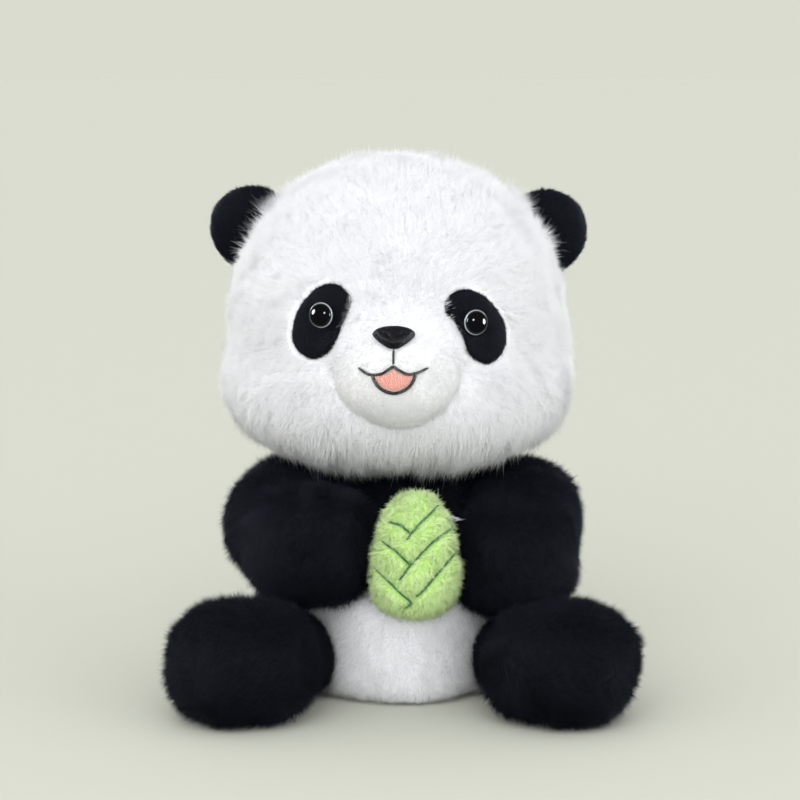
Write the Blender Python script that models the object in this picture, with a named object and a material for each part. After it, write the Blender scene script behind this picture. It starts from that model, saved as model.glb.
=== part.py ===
"""A plush panda sitting with its legs out in front, hugging a small plush bamboo shoot.

Built the way the toy is sewn: each limb, the head, the ears and the shoot are a
cloth shell with its own stuffing, the torso is two cloth panels over stuffing and
a bag of pellets, and the face is a sewn muzzle, two eye patches, safety eyes and a
safety nose held by lock washers, and embroidered lines.

Axes: +Z up, the panda faces -Y, and its own left side is +X. Dimensions below are
in millimetres and are turned into metres when each object is made.
"""

import math

import bmesh
import bpy
import numpy as np
from mathutils import Matrix, Vector

# ---------------------------------------------------------------- dimensions
CLOTH = 2.4  # backing cloth with the packed root of the pile
THIN_CLOTH = 1.8  # short-pile cloth of the ears, muzzle, patches and shoot
FILL_GAP = 1.0  # between a shell and the stuffing inside it
SEAM_GAP = 0.5  # between pieces that are sewn or laid against each other
JOINT_GAP = 1.0  # between a limb's round root and the pocket it turns in

# The numbers below are measured from a point on the floor under the neck; the
# finished part's own origin is ORIGIN, the middle of the ground it covers.
ORIGIN = (0.0, -32.0, 1.0)

HEAD_X, HEAD_Y = -2.6, -12.0
HEAD_DOME = ((HEAD_X, HEAD_Y, 160.0), (70.0, 58.5, 66.5))
HEAD_UNDER = 54.0  # the dome reaches this far below its middle
HEAD_CHEEKS = ((HEAD_X, HEAD_Y - 3.0, 129.5), (71.5, 56.5, 28.0))
HEAD_CORE = (HEAD_X, HEAD_Y, 150.0)
HEAD_TILT = 2.6  # degrees, the panda's left eye lower

NECK = (0.0, 4.0, 112.0)  # the point the head turns and nods about
NECK_BALL = 17.0
NECK_POST = 13.5
NECK_FOOT_Z = 74.0
NECK_HOLE = 20.0

BELLY = ((0.0, -2.0, 47.0), (57.0, 51.0, 46.0))
BELLY_POWER = 3.0  # above 2 gives the sagging belly its flat bottom
LAP = ((-1.0, -14.0, 24.0), (45.0, 46.0, 23.0))  # the pellets push the front of it out
CHEST = ((0.0, 4.0, 69.0), (44.0, 40.0, 28.0))
SEAT_Z = 1.0  # the body is flat where it sits
BODY_CORE = (0.0, 3.0, 50.0)
WAIST_Z = 58.0  # seam between the black upper panel and the white belly panel
WAIST_GAP = 0.5
PELLETS = ((0.0, 8.0, 19.5), (20.0, 23.0, 9.5))

SHOULDER = {"left": (51.0, -6.0, 72.0), "right": (-51.0, -6.0, 72.0)}
SHOULDER_R = 24.5
ARM = {
    "left": (
        ((50.0, -33.0, 71.0), (25.0, 25.0, 25.0)),
        ((47.0, -56.0, 62.0), (25.5, 23.5, 24.0)),
    ),
    "right": (
        ((-49.5, -33.0, 72.0), (25.5, 25.0, 25.0)),
        ((-39.5, -58.0, 68.5), (27.0, 24.0, 23.5)),
    ),
}
ARM_POWER = 2.8  # of the paw: blunter than a ball
REST_GAP = 2.2  # between the underside of a paw and the leg it lies on
ARM_CORE = {"left": (50.0, -30.0, 69.0), "right": (-48.0, -30.0, 71.0)}
ARM_AXIS_TILT = {"left": 30.0, "right": 10.0}  # degrees, axis leans to the neck
ARM_MOUTH = 9.0  # radius of the opening each arm is stuffed through

HIP = {"left": (46.0, -12.0, 23.5), "right": (-46.0, -12.0, 23.5)}
HIP_R = 21.5
LEG = {
    s: (
        ((m * 54.0, -47.0, 19.0), (24.5, 33.0, 17.5)),
        ((m * 64.2, -85.0, 24.5), (30.8, 29.0, 24.0)),
    )
    for s, m in (("left", 1.0), ("right", -1.0))
}
LEG_CORE = {"left": (56.0, -50.0, 24.0), "right": (-56.0, -50.0, 24.0)}
LEG_MOUTH = 9.0

EAR_DISC = (17.6, 6.8, 17.6)
EAR = {"left": (61.0, -5.0, 196.0), "right": (-65.5, -5.0, 197.5)}
EAR_LIFT = {"left": 33.0, "right": 34.0}  # degrees of the ear's line above level
EAR_GAP = 1.6

MUZZLE = ((-2.9, -62.0, 141.4), (26.4, 21.5, 21.0))
NOSE_AT = (-4.2, 158.6)
NOSE_OUTLINE = (
    (-8.6, 1.6), (-7.0, 3.1), (-3.4, 3.6), (0.0, 3.7), (3.4, 3.6), (7.0, 3.1),
    (8.6, 1.6), (7.2, -1.3), (4.4, -3.8), (1.6, -5.3), (-1.6, -5.3), (-4.4, -3.8),
    (-7.2, -1.3),
)
NOSE_RISE = 3.8
NOSE_STEM = 19.5
STEM_R = 1.5
STEM_HOLE = 1.9
WASHER_R = 5.0
WASHER_THICK = 1.5

EYE_R = 5.2
EYE_RISE = 3.6
EYE_AT = {"left": (29.3, 163.2), "right": (-34.0, 166.2)}
PATCH_THICK = 1.8
PATCH = {
    "right": (
        (-29.2, 178.7), (-24.4, 176.6), (-21.6, 171.9), (-26.0, 160.9),
        (-28.9, 154.3), (-32.6, 149.8), (-37.6, 147.7), (-42.6, 149.6),
        (-45.6, 153.6), (-46.2, 158.6), (-43.7, 167.6), (-37.9, 175.0),
        (-33.6, 177.8),
    ),
    "left": (
        (24.2, 176.2), (18.9, 174.2), (16.6, 168.8), (21.4, 162.2),
        (24.7, 156.0), (27.2, 149.6), (33.8, 145.6), (39.4, 148.2),
        (42.2, 154.6), (40.9, 163.0), (35.9, 170.5), (29.9, 175.0),
    ),
}

STITCH_R = 0.55
MOUTH_LINE = (
    (-18.5, 146.0), (-14.3, 143.8), (-9.8, 144.0), (-6.4, 145.9), (-4.4, 147.0),
    (-2.2, 145.7), (1.4, 144.0), (5.4, 144.4), (9.6, 146.2),
)
LIP_LINE = (
    (-12.4, 141.6), (-10.6, 139.0), (-7.6, 137.1), (-4.1, 136.3), (-0.6, 137.2),
    (2.2, 139.2), (3.6, 141.6),
)
PHILTRUM = ((-4.3, 153.4), (-4.4, 151.0), (-4.4, 148.6))
MOUTH_FILL = (
    (-11.4, 142.6), (-9.4, 142.7), (-6.2, 144.2), (-4.4, 145.5), (-2.4, 144.2),
    (1.0, 142.7), (2.8, 142.6), (1.4, 140.0), (-1.2, 138.3), (-4.1, 137.5),
    (-7.2, 138.2), (-9.7, 139.9),
)

SHOOT_AT = (4.6, -68.5, 66.5)
SHOOT_R = (16.8, 13.4, 25.0)
SHOOT_TAPER = 0.0085
SHOOT_MOUTH = 5.0
SHOOT_STITCH = {
    "top": ((13.0, 86.0), (6.5, 80.6), (2.6, 76.6), (0.8, 76.8), (-3.2, 80.6), (-8.6, 80.6)),
    "middle": (
        (18.6, 77.4), (12.2, 73.8), (6.5, 68.2), (2.6, 65.0), (0.0, 66.6),
        (-3.8, 70.4), (-9.0, 73.0),
    ),
    "low": (
        (19.6, 69.4), (16.4, 63.6), (10.6, 57.6), (5.2, 51.4), (2.2, 49.4),
        (-1.7, 53.0), (-6.6, 58.0), (-11.0, 61.0),
    ),
}
TACK_Z = 76.0
THREAD_R = 0.45

# colours, linear RGB
BLACK_FUR = (0.012, 0.013, 0.018)
WHITE_FUR = (0.80, 0.80, 0.78)
CREAM_PILE = (0.78, 0.76, 0.72)
FILLING = (0.86, 0.86, 0.85)
LIME = (0.46, 0.74, 0.22)
DARK_GREEN = (0.03, 0.10, 0.03)
CORAL = (0.86, 0.36, 0.24)
EYE_BLACK = (0.006, 0.006, 0.007)
WASHER_WHITE = (0.72, 0.72, 0.70)
THREAD_BLACK = (0.012, 0.012, 0.013)
PELLET_CLOTH = (0.62, 0.60, 0.55)


# ---------------------------------------------------------------- shape fields
def oval(centre, radii, power=2.0, turn=None, under=None):
    """Signed distance, nearly, to an oval with its own squareness in Z."""
    centre, radii = np.array(centre), np.array(radii)

    def size(p):
        q = p - centre
        if turn is not None:
            q = q @ turn
        tall = radii[2] if under is None else np.where(q[:, 2] < 0, under, radii[2])
        flat = np.sqrt((q[:, 0] / radii[0]) ** 2 + (q[:, 1] / radii[1]) ** 2)
        high = np.abs(q[:, 2]) / tall
        return (flat**power + high**power + 1e-12) ** (1 / power)

    return as_distance(size)


def as_distance(size):
    def field(p):
        step = 0.01
        slope = np.stack(
            [
                (size(p + step * a) - size(p - step * a)) / (2 * step)
                for a in np.eye(3)
            ],
            axis=1,
        )
        return (size(p) - 1) / np.maximum(np.linalg.norm(slope, axis=1), 1e-6)

    return field


def join(fields, blend):
    """Smooth union of signed distances."""

    def field(p):
        out = fields[0](p)
        for f in fields[1:]:
            other = f(p)
            h = np.clip(0.5 + 0.5 * (other - out) / blend, 0, 1)
            out = other * (1 - h) + out * h - blend * h * (1 - h)
        return out

    return field


def grown(field, by):
    return lambda p: field(p) - by


head_field = join(
    (oval(*HEAD_DOME, power=2.1, under=HEAD_UNDER), oval(*HEAD_CHEEKS, power=2.5)), 10.0
)
body_round = join(
    (oval(*BELLY, power=BELLY_POWER), oval(*CHEST), oval(*LAP, power=BELLY_POWER)), 10.0
)


def body_field(p):
    return np.maximum(body_round(p), SEAT_Z - p[:, 2])


leg_field = {
    s: join([oval(HIP[s], (HIP_R,) * 3)] + [oval(*o, power=2.5) for o in LEG[s]], 5.0)
    for s in HIP
}


def resting(upper, lower, gap):
    """upper, pressed in where it lies on lower."""
    return lambda p: np.maximum(upper(p), gap - lower(p))


arm_field = {
    s: resting(
        join(
            (
                oval(SHOULDER[s], (SHOULDER_R,) * 3),
                oval(*ARM[s][0]),
                oval(*ARM[s][1], power=ARM_POWER),
            ),
            5.0,
        ),
        leg_field[s],
        REST_GAP,
    )
    for s in SHOULDER
}
muzzle_field = oval(*MUZZLE, power=2.2)


def shoot_size(p):
    q = p - np.array(SHOOT_AT)
    taper = np.clip(1 - SHOOT_TAPER * q[:, 2], 0.4, 1.6)
    q = np.abs(q)
    flat = np.sqrt((q[:, 0] / (SHOOT_R[0] * taper)) ** 2 + (q[:, 1] / (SHOOT_R[1] * taper)) ** 2)
    return (flat**2.6 + (q[:, 2] / SHOOT_R[2]) ** 2.6 + 1e-12) ** (1 / 2.6)


shoot_field = as_distance(shoot_size)


def ear_frame(side):
    """Columns: along the base seam, through the ear's thickness, out of the head."""
    m = 1.0 if side == "left" else -1.0
    lift = math.radians(EAR_LIFT[side])
    out = np.array((m * math.cos(lift), 0.0, math.sin(lift)))
    along = np.array((-m * math.sin(lift), 0.0, math.cos(lift)))
    return np.stack((along, np.array((0.0, 1.0, 0.0)), out), axis=1)


# ---------------------------------------------------------------- meshes
def directions(n):
    """Unit vectors over a cube's grid of n by n squares a side, and its triangles."""
    index, points, tris = {}, [], []
    ramp = np.tan(np.linspace(-math.pi / 4, math.pi / 4, n + 1))

    def at(v):
        key = tuple(np.round(v, 6))
        if key not in index:
            index[key] = len(points)
            points.append(np.array(v) / np.linalg.norm(v))
        return index[key]

    for axis in range(3):
        for sign in (1.0, -1.0):
            u, w = (axis + 1) % 3, (axis + 2) % 3

            def place(i, j):
                v = [0.0, 0.0, 0.0]
                v[axis], v[u], v[w] = sign, ramp[i], ramp[j]
                return at(v)

            for i in range(n):
                for j in range(n):
                    a, b, c, d = (
                        place(i, j), place(i + 1, j), place(i + 1, j + 1), place(i, j + 1)
                    )
                    if sign < 0:
                        a, b, c, d = d, c, b, a
                    if (i + j) % 2:
                        tris += [(a, b, c), (a, c, d)]
                    else:
                        tris += [(a, b, d), (b, c, d)]
    return np.array(points), tris


def star(core, field, n, level=0.0, reach=130.0):
    """The surface where field is level, seen from core."""
    rays, tris = directions(n)
    core = np.array(core, float)
    steps = np.linspace(0.5, reach, 200)
    low = np.zeros(len(rays))
    high = np.full(len(rays), reach)
    open_ = np.ones(len(rays), bool)
    for s in steps:
        out = field(core + rays * s) > level
        hit = open_ & out
        high[hit] = s
        open_ &= ~out
        low[open_] = s
    for _ in range(30):
        mid = (low + high) / 2
        out = field(core + rays * mid[:, None]) > level
        high = np.where(out, mid, high)
        low = np.where(out, low, mid)
    return core + rays * ((low + high) / 2)[:, None], tris


def mesh_object(name, points, faces):
    data = bpy.data.meshes.new(name)
    points = (np.array(points, float) - np.array(ORIGIN)) * 0.001
    data.from_pydata([tuple(v) for v in points], [], faces)
    data.validate()
    obj = bpy.data.objects.new(name, data)
    bpy.context.scene.collection.objects.link(obj)
    return obj


def facing_out(obj):
    bm = bmesh.new()
    bm.from_mesh(obj.data)
    bmesh.ops.recalc_face_normals(bm, faces=bm.faces)
    bm.to_mesh(obj.data)
    bm.free()
    return obj


def shell_object(name, outer, inner):
    points = list(outer[0]) + list(inner[0])
    shift = len(outer[0])
    faces = list(outer[1]) + [tuple(shift + i for i in reversed(f)) for f in inner[1]]
    return mesh_object(name, points, faces)


def drop(obj):
    data = obj.data
    bpy.data.objects.remove(obj)
    bpy.data.meshes.remove(data)


def cut(obj, cutters, how="DIFFERENCE", keep=False):
    for cutter in cutters:
        mod = obj.modifiers.new("cut", "BOOLEAN")
        mod.operation = how
        mod.solver = "EXACT"
        mod.object = cutter
        bpy.context.view_layer.update()
        graph = bpy.context.evaluated_depsgraph_get()
        data = bpy.data.meshes.new_from_object(obj.evaluated_get(graph))
        obj.modifiers.clear()
        old = obj.data
        obj.data = data
        bpy.data.meshes.remove(old)
    if not keep:
        for cutter in cutters:
            drop(cutter)
    return obj


def rod(at, direction, radius, length, sides=20, back=0.0):
    """A closed cylinder from at - back to at + length along direction."""
    d = np.array(direction, float)
    d /= np.linalg.norm(d)
    side = np.cross(d, (0.0, 0.0, 1.0) if abs(d[2]) < 0.9 else (1.0, 0.0, 0.0))
    side /= np.linalg.norm(side)
    up = np.cross(d, side)
    points, faces = [], []
    for t in (-back, length):
        for k in range(sides):
            a = 2 * math.pi * k / sides
            points.append(np.array(at) + d * t + radius * (side * math.cos(a) + up * math.sin(a)))
    faces.append(tuple(reversed(range(sides))))
    faces.append(tuple(range(sides, 2 * sides)))
    for k in range(sides):
        n = (k + 1) % sides
        faces.append((k, n, sides + n, sides + k))
    return facing_out(mesh_object("rod", points, faces))


def block(low, high):
    x0, y0, z0 = low
    x1, y1, z1 = high
    points = [
        np.array(v)
        for v in (
            (x0, y0, z0), (x1, y0, z0), (x1, y1, z0), (x0, y1, z0),
            (x0, y0, z1), (x1, y0, z1), (x1, y1, z1), (x0, y1, z1),
        )
    ]
    faces = [(0, 3, 2, 1), (4, 5, 6, 7), (0, 1, 5, 4), (1, 2, 6, 5), (2, 3, 7, 6), (3, 0, 4, 7)]
    return mesh_object("block", points, faces)


def revolve(profile, at, direction, sides):
    """A closed body from (radius, height) pairs; the first and last radius are 0."""
    d = np.array(direction, float)
    d /= np.linalg.norm(d)
    side = np.cross(d, (0.0, 0.0, 1.0) if abs(d[2]) < 0.9 else (1.0, 0.0, 0.0))
    side /= np.linalg.norm(side)
    up = np.cross(d, side)
    at = np.array(at, float)
    points, rings = [], []
    for r, h in profile:
        if r == 0:
            rings.append([len(points)])
            points.append(at + d * h)
        else:
            ring = []
            for k in range(sides):
                a = 2 * math.pi * k / sides
                ring.append(len(points))
                points.append(at + d * h + r * (side * math.cos(a) + up * math.sin(a)))
            rings.append(ring)
    faces = []
    for a, b in zip(rings, rings[1:]):
        for k in range(sides):
            n = (k + 1) % sides
            if len(a) == 1:
                faces.append((a[0], b[k], b[n]))
            elif len(b) == 1:
                faces.append((a[k], b[0], a[n]))
            else:
                faces.append((a[k], b[k], b[n], a[n]))
    return points, faces


def front(field, level, x, z, start=-130.0, stop=10.0):
    """The Y where a line along +Y first meets field's level, for each x and z."""
    x, z = np.atleast_1d(x).astype(float), np.atleast_1d(z).astype(float)
    low = np.full(len(x), start)
    high = np.full(len(x), stop)
    found = np.zeros(len(x), bool)
    for y in np.arange(start, stop, 1.0):
        p = np.stack((x, np.full(len(x), y), z), axis=1)
        inside = field(p) < level
        new = inside & ~found
        high[new] = y
        low[new] = y - 1
        found |= inside
    for _ in range(30):
        mid = (low + high) / 2
        inside = field(np.stack((x, mid, z), axis=1)) < level
        high = np.where(inside, mid, high)
        low = np.where(inside, low, mid)
    return (low + high) / 2


def slope(field, p):
    p = np.array(p, float)
    e = 0.05
    g = np.array([(field((p + e * a)[None])[0] - field((p - e * a)[None])[0]) for a in np.eye(3)])
    return g / np.linalg.norm(g)


def disc_depth(at, way, radius, level):
    """How far behind at, along -way, a disc of this radius lies wholly inside level."""
    side = np.cross(way, (0.0, 0.0, 1.0))
    side /= np.linalg.norm(side)
    up = np.cross(way, side)
    turn = np.linspace(0, 2 * math.pi, 24, endpoint=False)[:, None]
    rim = radius * (np.cos(turn) * side + np.sin(turn) * up)
    for depth in np.arange(0.0, 40.0, 0.1):
        if (head_field(at - way * depth + rim) < level).all():
            return depth
    raise ValueError("no room for the washer")


def washer_object(name, at, way, depth):
    """A lock washer whose outer face is depth behind at."""
    side = np.cross(way, (0.0, 0.0, 1.0))
    side /= np.linalg.norm(side)
    up = np.cross(way, side)
    base = at - way * (depth + WASHER_THICK)
    points, faces = [], []
    for r, h in ((STEM_HOLE, 0.0), (WASHER_R, 0.0), (WASHER_R, WASHER_THICK), (STEM_HOLE, WASHER_THICK)):
        for k in range(14):
            a = 2 * math.pi * k / 14
            points.append(base + way * h + r * (side * math.cos(a) + up * math.sin(a)))
    for i in range(4):
        j = (i + 1) % 4
        for k in range(14):
            n = (k + 1) % 14
            faces.append((i * 14 + k, i * 14 + n, j * 14 + n, j * 14 + k))
    return finish(facing_out(mesh_object(name, points, faces)), WASHER_WHITE, 0.4, NECK, smooth=False)


def pad(name, field, outline, gap, thick, rings=3):
    """A pad of even thickness lying on field's front, with a rounded rim."""
    line = np.array(outline, float)
    middle = line.mean(axis=0)
    n = len(line)
    spread = [0.0] + [math.sin(math.pi / 2 * (k + 1) / rings) for k in range(rings)]
    points, faces = [], []
    layers = []
    for top in (True, False):
        layer = []
        for s in spread:
            where = middle + (line - middle) * s if s else middle[None]
            near = 1.0 if s < 0.999 else 0.55
            level = gap + thick * near if top else gap
            y = front(field, level, where[:, 0], where[:, 1])
            ring = []
            for (x, z), yy in zip(where, y):
                ring.append(len(points))
                points.append(np.array((x, yy, z)))
            layer.append(ring)
        layers.append(layer)
    for layer, flip in zip(layers, (False, True)):
        for a, b in zip(layer, layer[1:]):
            for k in range(n):
                m = (k + 1) % n
                f = (a[0], b[k], b[m]) if len(a) == 1 else (a[k], b[k], b[m], a[m])
                faces.append(tuple(reversed(f)) if flip else f)
    top, bottom = layers[0][-1], layers[1][-1]
    for k in range(n):
        m = (k + 1) % n
        faces.append((top[m], top[k], bottom[k], bottom[m]))
    return facing_out(mesh_object(name, points, faces))


def smooth_path(points, per=3):
    """Catmull-Rom through points."""
    p = np.array(points, float)
    p = np.vstack((2 * p[0] - p[1], p, 2 * p[-1] - p[-2]))
    out = []
    for i in range(1, len(p) - 2):
        for t in np.arange(per) / per:
            a, b, c, d = p[i - 1 : i + 3]
            out.append(
                0.5 * (2 * b + (c - a) * t + (2 * a - 5 * b + 4 * c - d) * t * t + (3 * b - a - 3 * c + d) * t**3)
            )
    out.append(p[-2])
    return np.array(out)


def thread(name, path, radius, sides=6):
    """A closed round thread along path."""
    path = np.array(path, float)
    points, faces, last = [], [], None
    rings = []
    for i, at in enumerate(path):
        d = path[min(i + 1, len(path) - 1)] - path[max(i - 1, 0)]
        d /= np.linalg.norm(d)
        if last is None:
            side = np.cross(d, (0.0, 1.0, 0.0))
            if np.linalg.norm(side) < 0.2:
                side = np.cross(d, (1.0, 0.0, 0.0))
        else:
            side = last - d * (last @ d)
        side /= np.linalg.norm(side)
        last = side
        up = np.cross(d, side)
        ring = []
        for k in range(sides):
            a = 2 * math.pi * k / sides
            ring.append(len(points))
            points.append(at + radius * (side * math.cos(a) + up * math.sin(a)))
        rings.append(ring)
    ends = []
    for at, way in ((path[0], path[0] - path[1]), (path[-1], path[-1] - path[-2])):
        ends.append(len(points))
        points.append(at + way / np.linalg.norm(way) * radius * 0.7)
    for a, b in zip(rings, rings[1:]):
        for k in range(sides):
            n = (k + 1) % sides
            faces.append((a[k], a[n], b[n], b[k]))
    for k in range(sides):
        n = (k + 1) % sides
        faces.append((ends[0], rings[0][n], rings[0][k]))
        faces.append((ends[1], rings[-1][k], rings[-1][n]))
    return facing_out(mesh_object(name, points, faces))


def on_front(field, line, level, per=3):
    flat = smooth_path(line, per)
    y = front(field, level, flat[:, 0], flat[:, 1])
    return np.stack((flat[:, 0], y, flat[:, 1]), axis=1)


def finish(obj, colour, rough, pivot=None, smooth=True, sheen=0.0):
    if pivot is not None:
        at = (Vector(pivot) - Vector(ORIGIN)) * 0.001
        obj.data.transform(Matrix.Translation(-at))
        obj.location = at
    mat = bpy.data.materials.new(obj.name)
    mat.use_nodes = True
    shader = mat.node_tree.nodes["Principled BSDF"]
    shader.inputs["Base Color"].default_value = (*colour, 1.0)
    shader.inputs["Roughness"].default_value = rough
    shader.inputs["Sheen Weight"].default_value = sheen
    obj.data.materials.clear()
    obj.data.materials.append(mat)
    for face in obj.data.polygons:
        face.use_smooth = smooth
        face.material_index = 0
    return obj


# ---------------------------------------------------------------- building
for old in list(bpy.data.objects):
    bpy.data.objects.remove(old)

FAR = 400.0
HEAD_N, BODY_N, LIMB_N, EAR_N, SHOOT_N = 8, 6, 5, 3, 4


def head_cutter(by):
    points, faces = star(HEAD_CORE, head_field, HEAD_N, by)
    return mesh_object("cutter", points, faces)


def limb_cutter(side, which, by, n=LIMB_N):
    field, core = (arm_field, ARM_CORE) if which == "arm" else (leg_field, LEG_CORE)
    points, faces = star(core[side], field[side], n, by)
    return mesh_object("cutter", points, faces)


def root_cutter(at, radius, n=5):
    points, faces = star(at, oval(at, (radius,) * 3), n)
    return mesh_object("cutter", points, faces)


# --- neck plug: the stuffing packed into the neck, which the head turns on
neck_profile = [(0.0, NECK_FOOT_Z - NECK[2]), (NECK_POST * 0.8, NECK_FOOT_Z - NECK[2]),
                (NECK_POST, NECK_FOOT_Z + 3 - NECK[2])]
start = math.asin(NECK_POST / NECK_BALL)
for k in range(8):
    a = math.pi - start - (math.pi - start) * k / 8
    neck_profile.append((NECK_BALL * math.sin(a), NECK_BALL * math.cos(a)))
neck_profile.append((0.0, NECK_BALL))
neck = facing_out(mesh_object("neck_stuffing", *revolve(neck_profile, NECK, (0, 0, 1), 20)))
finish(neck, FILLING, 0.95, NECK)

# --- eyes, their patches and washers
eye_line, eye_depth = {}, {}
for side, (x, z) in EYE_AT.items():
    level = SEAM_GAP + PATCH_THICK + 0.35
    y = front(head_field, level, x, z)[0]
    way = slope(head_field, (x, y, z))
    eye_line[side] = (np.array((x, y, z)), way)

for side, (at, way) in eye_line.items():
    profile = [(0.0, -11.0), (STEM_R, -11.0), (STEM_R, 0.0), (EYE_R * 0.96, 0.0), (EYE_R, 0.35)]
    for k in range(1, 5):
        a = math.pi / 2 * k / 5
        profile.append((EYE_R * math.cos(a), 0.35 + EYE_RISE * math.sin(a)))
    profile.append((0.0, 0.35 + EYE_RISE))
    eye = facing_out(mesh_object(f"eye_{side}", *revolve(profile, at, way, 16)))
    finish(eye, EYE_BLACK, 0.08, NECK)

    eye_depth[side] = disc_depth(at, way, WASHER_R, -CLOTH - 0.9)
    washer_object(f"eye_washer_{side}", at, way, eye_depth[side])

    patch = pad(f"eye_patch_{side}", head_field, PATCH[side], SEAM_GAP, PATCH_THICK, rings=3)
    cut(patch, [rod(at, -way, STEM_HOLE, 12.0, 14, back=4.0)])
    finish(patch, BLACK_FUR, 0.9, NECK, sheen=0.3)

# --- muzzle, nose and mouth
m_at = MUZZLE[0]
muzzle = shell_object(
    "muzzle_panel",
    star(m_at, muzzle_field, 6, 0.0, 40.0),
    star(m_at, muzzle_field, 6, -THIN_CLOTH, 40.0),
)
nose_y = front(muzzle_field, SEAM_GAP, NOSE_AT[0], NOSE_AT[1])[0]
nose_way = slope(muzzle_field, (NOSE_AT[0], nose_y, NOSE_AT[1]))
nose_way = nose_way * np.array((0.0, 1.0, 0.6))
nose_way /= np.linalg.norm(nose_way)
nose_up = np.array((0.0, -nose_way[2], nose_way[1])) * -1.0
nose_up = nose_up if nose_up[2] > 0 else -nose_up
nose_base = np.array((NOSE_AT[0], nose_y, NOSE_AT[1])) + nose_way * 0.9
cut(
    muzzle,
    [
        head_cutter(SEAM_GAP),
        rod(nose_base, -nose_way, STEM_HOLE, 24.0, 14, back=6.0),
    ],
)
finish(muzzle, CREAM_PILE, 0.9, NECK, sheen=0.3)

outline = np.array(NOSE_OUTLINE)
points, faces, rings = [], [], []
for scale, rise in ((0.90, 0.0), (1.0, 0.9), (0.93, 2.1), (0.70, 3.2), (0.36, 3.7)):
    ring = []
    for x, z in outline:
        ring.append(len(points))
        points.append(nose_base + np.array((1.0, 0, 0)) * x * scale + nose_up * z * scale + nose_way * rise)
    rings.append(ring)
n = len(outline)
tip = len(points)
points.append(nose_base + nose_way * NOSE_RISE)
stem_rings = []
for h in (0.0, -NOSE_STEM):
    ring = []
    for k in range(n):
        a = math.atan2(outline[k][1], outline[k][0])
        ring.append(len(points))
        points.append(nose_base + nose_way * h + STEM_R * (np.array((1.0, 0, 0)) * math.cos(a) + nose_up * math.sin(a)))
    stem_rings.append(ring)
foot = len(points)
points.append(nose_base - nose_way * NOSE_STEM)
for a, b in zip([stem_rings[1], stem_rings[0]] + rings[:-1], [stem_rings[0], rings[0]] + rings[1:]):
    for k in range(n):
        m = (k + 1) % n
        faces.append((a[k], a[m], b[m], b[k]))
for k in range(n):
    m = (k + 1) % n
    faces.append((rings[-1][k], rings[-1][m], tip))
    faces.append((stem_rings[1][m], stem_rings[1][k], foot))
nose = facing_out(mesh_object("nose", points, faces))
finish(nose, EYE_BLACK, 0.45, NECK)

nose_depth = disc_depth(nose_base, nose_way, WASHER_R, -CLOTH - 0.9)
washer_object("nose_washer", nose_base, nose_way, nose_depth)

muzzle_fill = mesh_object("muzzle_stuffing", *star(m_at, muzzle_field, 6, -THIN_CLOTH - FILL_GAP, 40.0))
cut(
    muzzle_fill,
    [
        head_cutter(SEAM_GAP),
        rod(nose_base, -nose_way, STEM_HOLE, 24.0, 14, back=6.0),
    ],
)
finish(muzzle_fill, FILLING, 0.95, NECK)

lift = SEAM_GAP + STITCH_R
stitches = {
    "philtrum_stitch": PHILTRUM,
    "mouth_stitch": MOUTH_LINE,
    "lip_stitch": LIP_LINE,
}
for name, line in stitches.items():
    obj = thread(name, on_front(muzzle_field, line, lift, 2), STITCH_R)
    finish(obj, THREAD_BLACK, 0.6, NECK)
mouth = pad("mouth_fill", muzzle_field, MOUTH_FILL, 0.4, 0.6, rings=3)
finish(mouth, CORAL, 0.6, NECK)

# --- head
head = shell_object(
    "head_shell",
    star(HEAD_CORE, head_field, HEAD_N),
    star(HEAD_CORE, head_field, HEAD_N, -CLOTH),
)
holes = [rod(NECK, (0, 0, -1), NECK_HOLE, 30.0, 28, back=4.0)]
holes += [rod(at, -way, STEM_HOLE, 12.0, 14, back=4.0) for at, way in eye_line.values()]
holes += [rod(nose_base, -nose_way, STEM_HOLE, 24.0, 14, back=4.0)]
cut(head, holes)
finish(head, WHITE_FUR, 0.9, NECK, sheen=0.3)

head_fill = mesh_object("head_stuffing", *star(HEAD_CORE, head_field, HEAD_N, -CLOTH - FILL_GAP))
cut(
    head_fill,
    [root_cutter(NECK, NECK_BALL + 0.9)]
    + [rod(at, -way, WASHER_R + 0.6, 12.5, 14, back=4.0) for at, way in eye_line.values()]
    + [rod(nose_base, -nose_way, WASHER_R + 0.6, NOSE_STEM + 1.5, 14, back=4.0)],
)
finish(head_fill, FILLING, 0.95, NECK)

# --- ears
for side, at in EAR.items():
    turn = ear_frame(side)
    disc = oval(at, (EAR_DISC[0], EAR_DISC[1], EAR_DISC[2]), 2.0, turn)

    def disc_size(p, at=np.array(at), turn=turn):
        q = np.abs((p - at) @ turn) / np.array(EAR_DISC)
        round_ = np.sqrt(q[:, 0] ** 2 + q[:, 2] ** 2)
        return (round_**2.6 + q[:, 1] ** 2.6 + 1e-12) ** (1 / 2.6)

    ear_field = as_distance(disc_size)
    out = turn[:, 2]
    core = np.array(at) + out * 3.0
    ear = shell_object(
        f"ear_{side}",
        star(core, ear_field, EAR_N + 1, 0.0, 40.0),
        star(core, ear_field, EAR_N + 1, -THIN_CLOTH, 40.0),
    )
    cut(ear, [head_cutter(EAR_GAP)])
    seat = np.array(at)
    for _ in range(40):
        seat = seat - out * head_field(seat[None])[0]
    finish(ear, BLACK_FUR, 0.9, seat, sheen=0.3)
    fill = mesh_object(f"ear_stuffing_{side}", *star(core, ear_field, EAR_N + 1, -THIN_CLOTH - FILL_GAP, 40.0))
    cut(fill, [head_cutter(EAR_GAP + 0.6)])
    finish(fill, FILLING, 0.95, seat)

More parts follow.
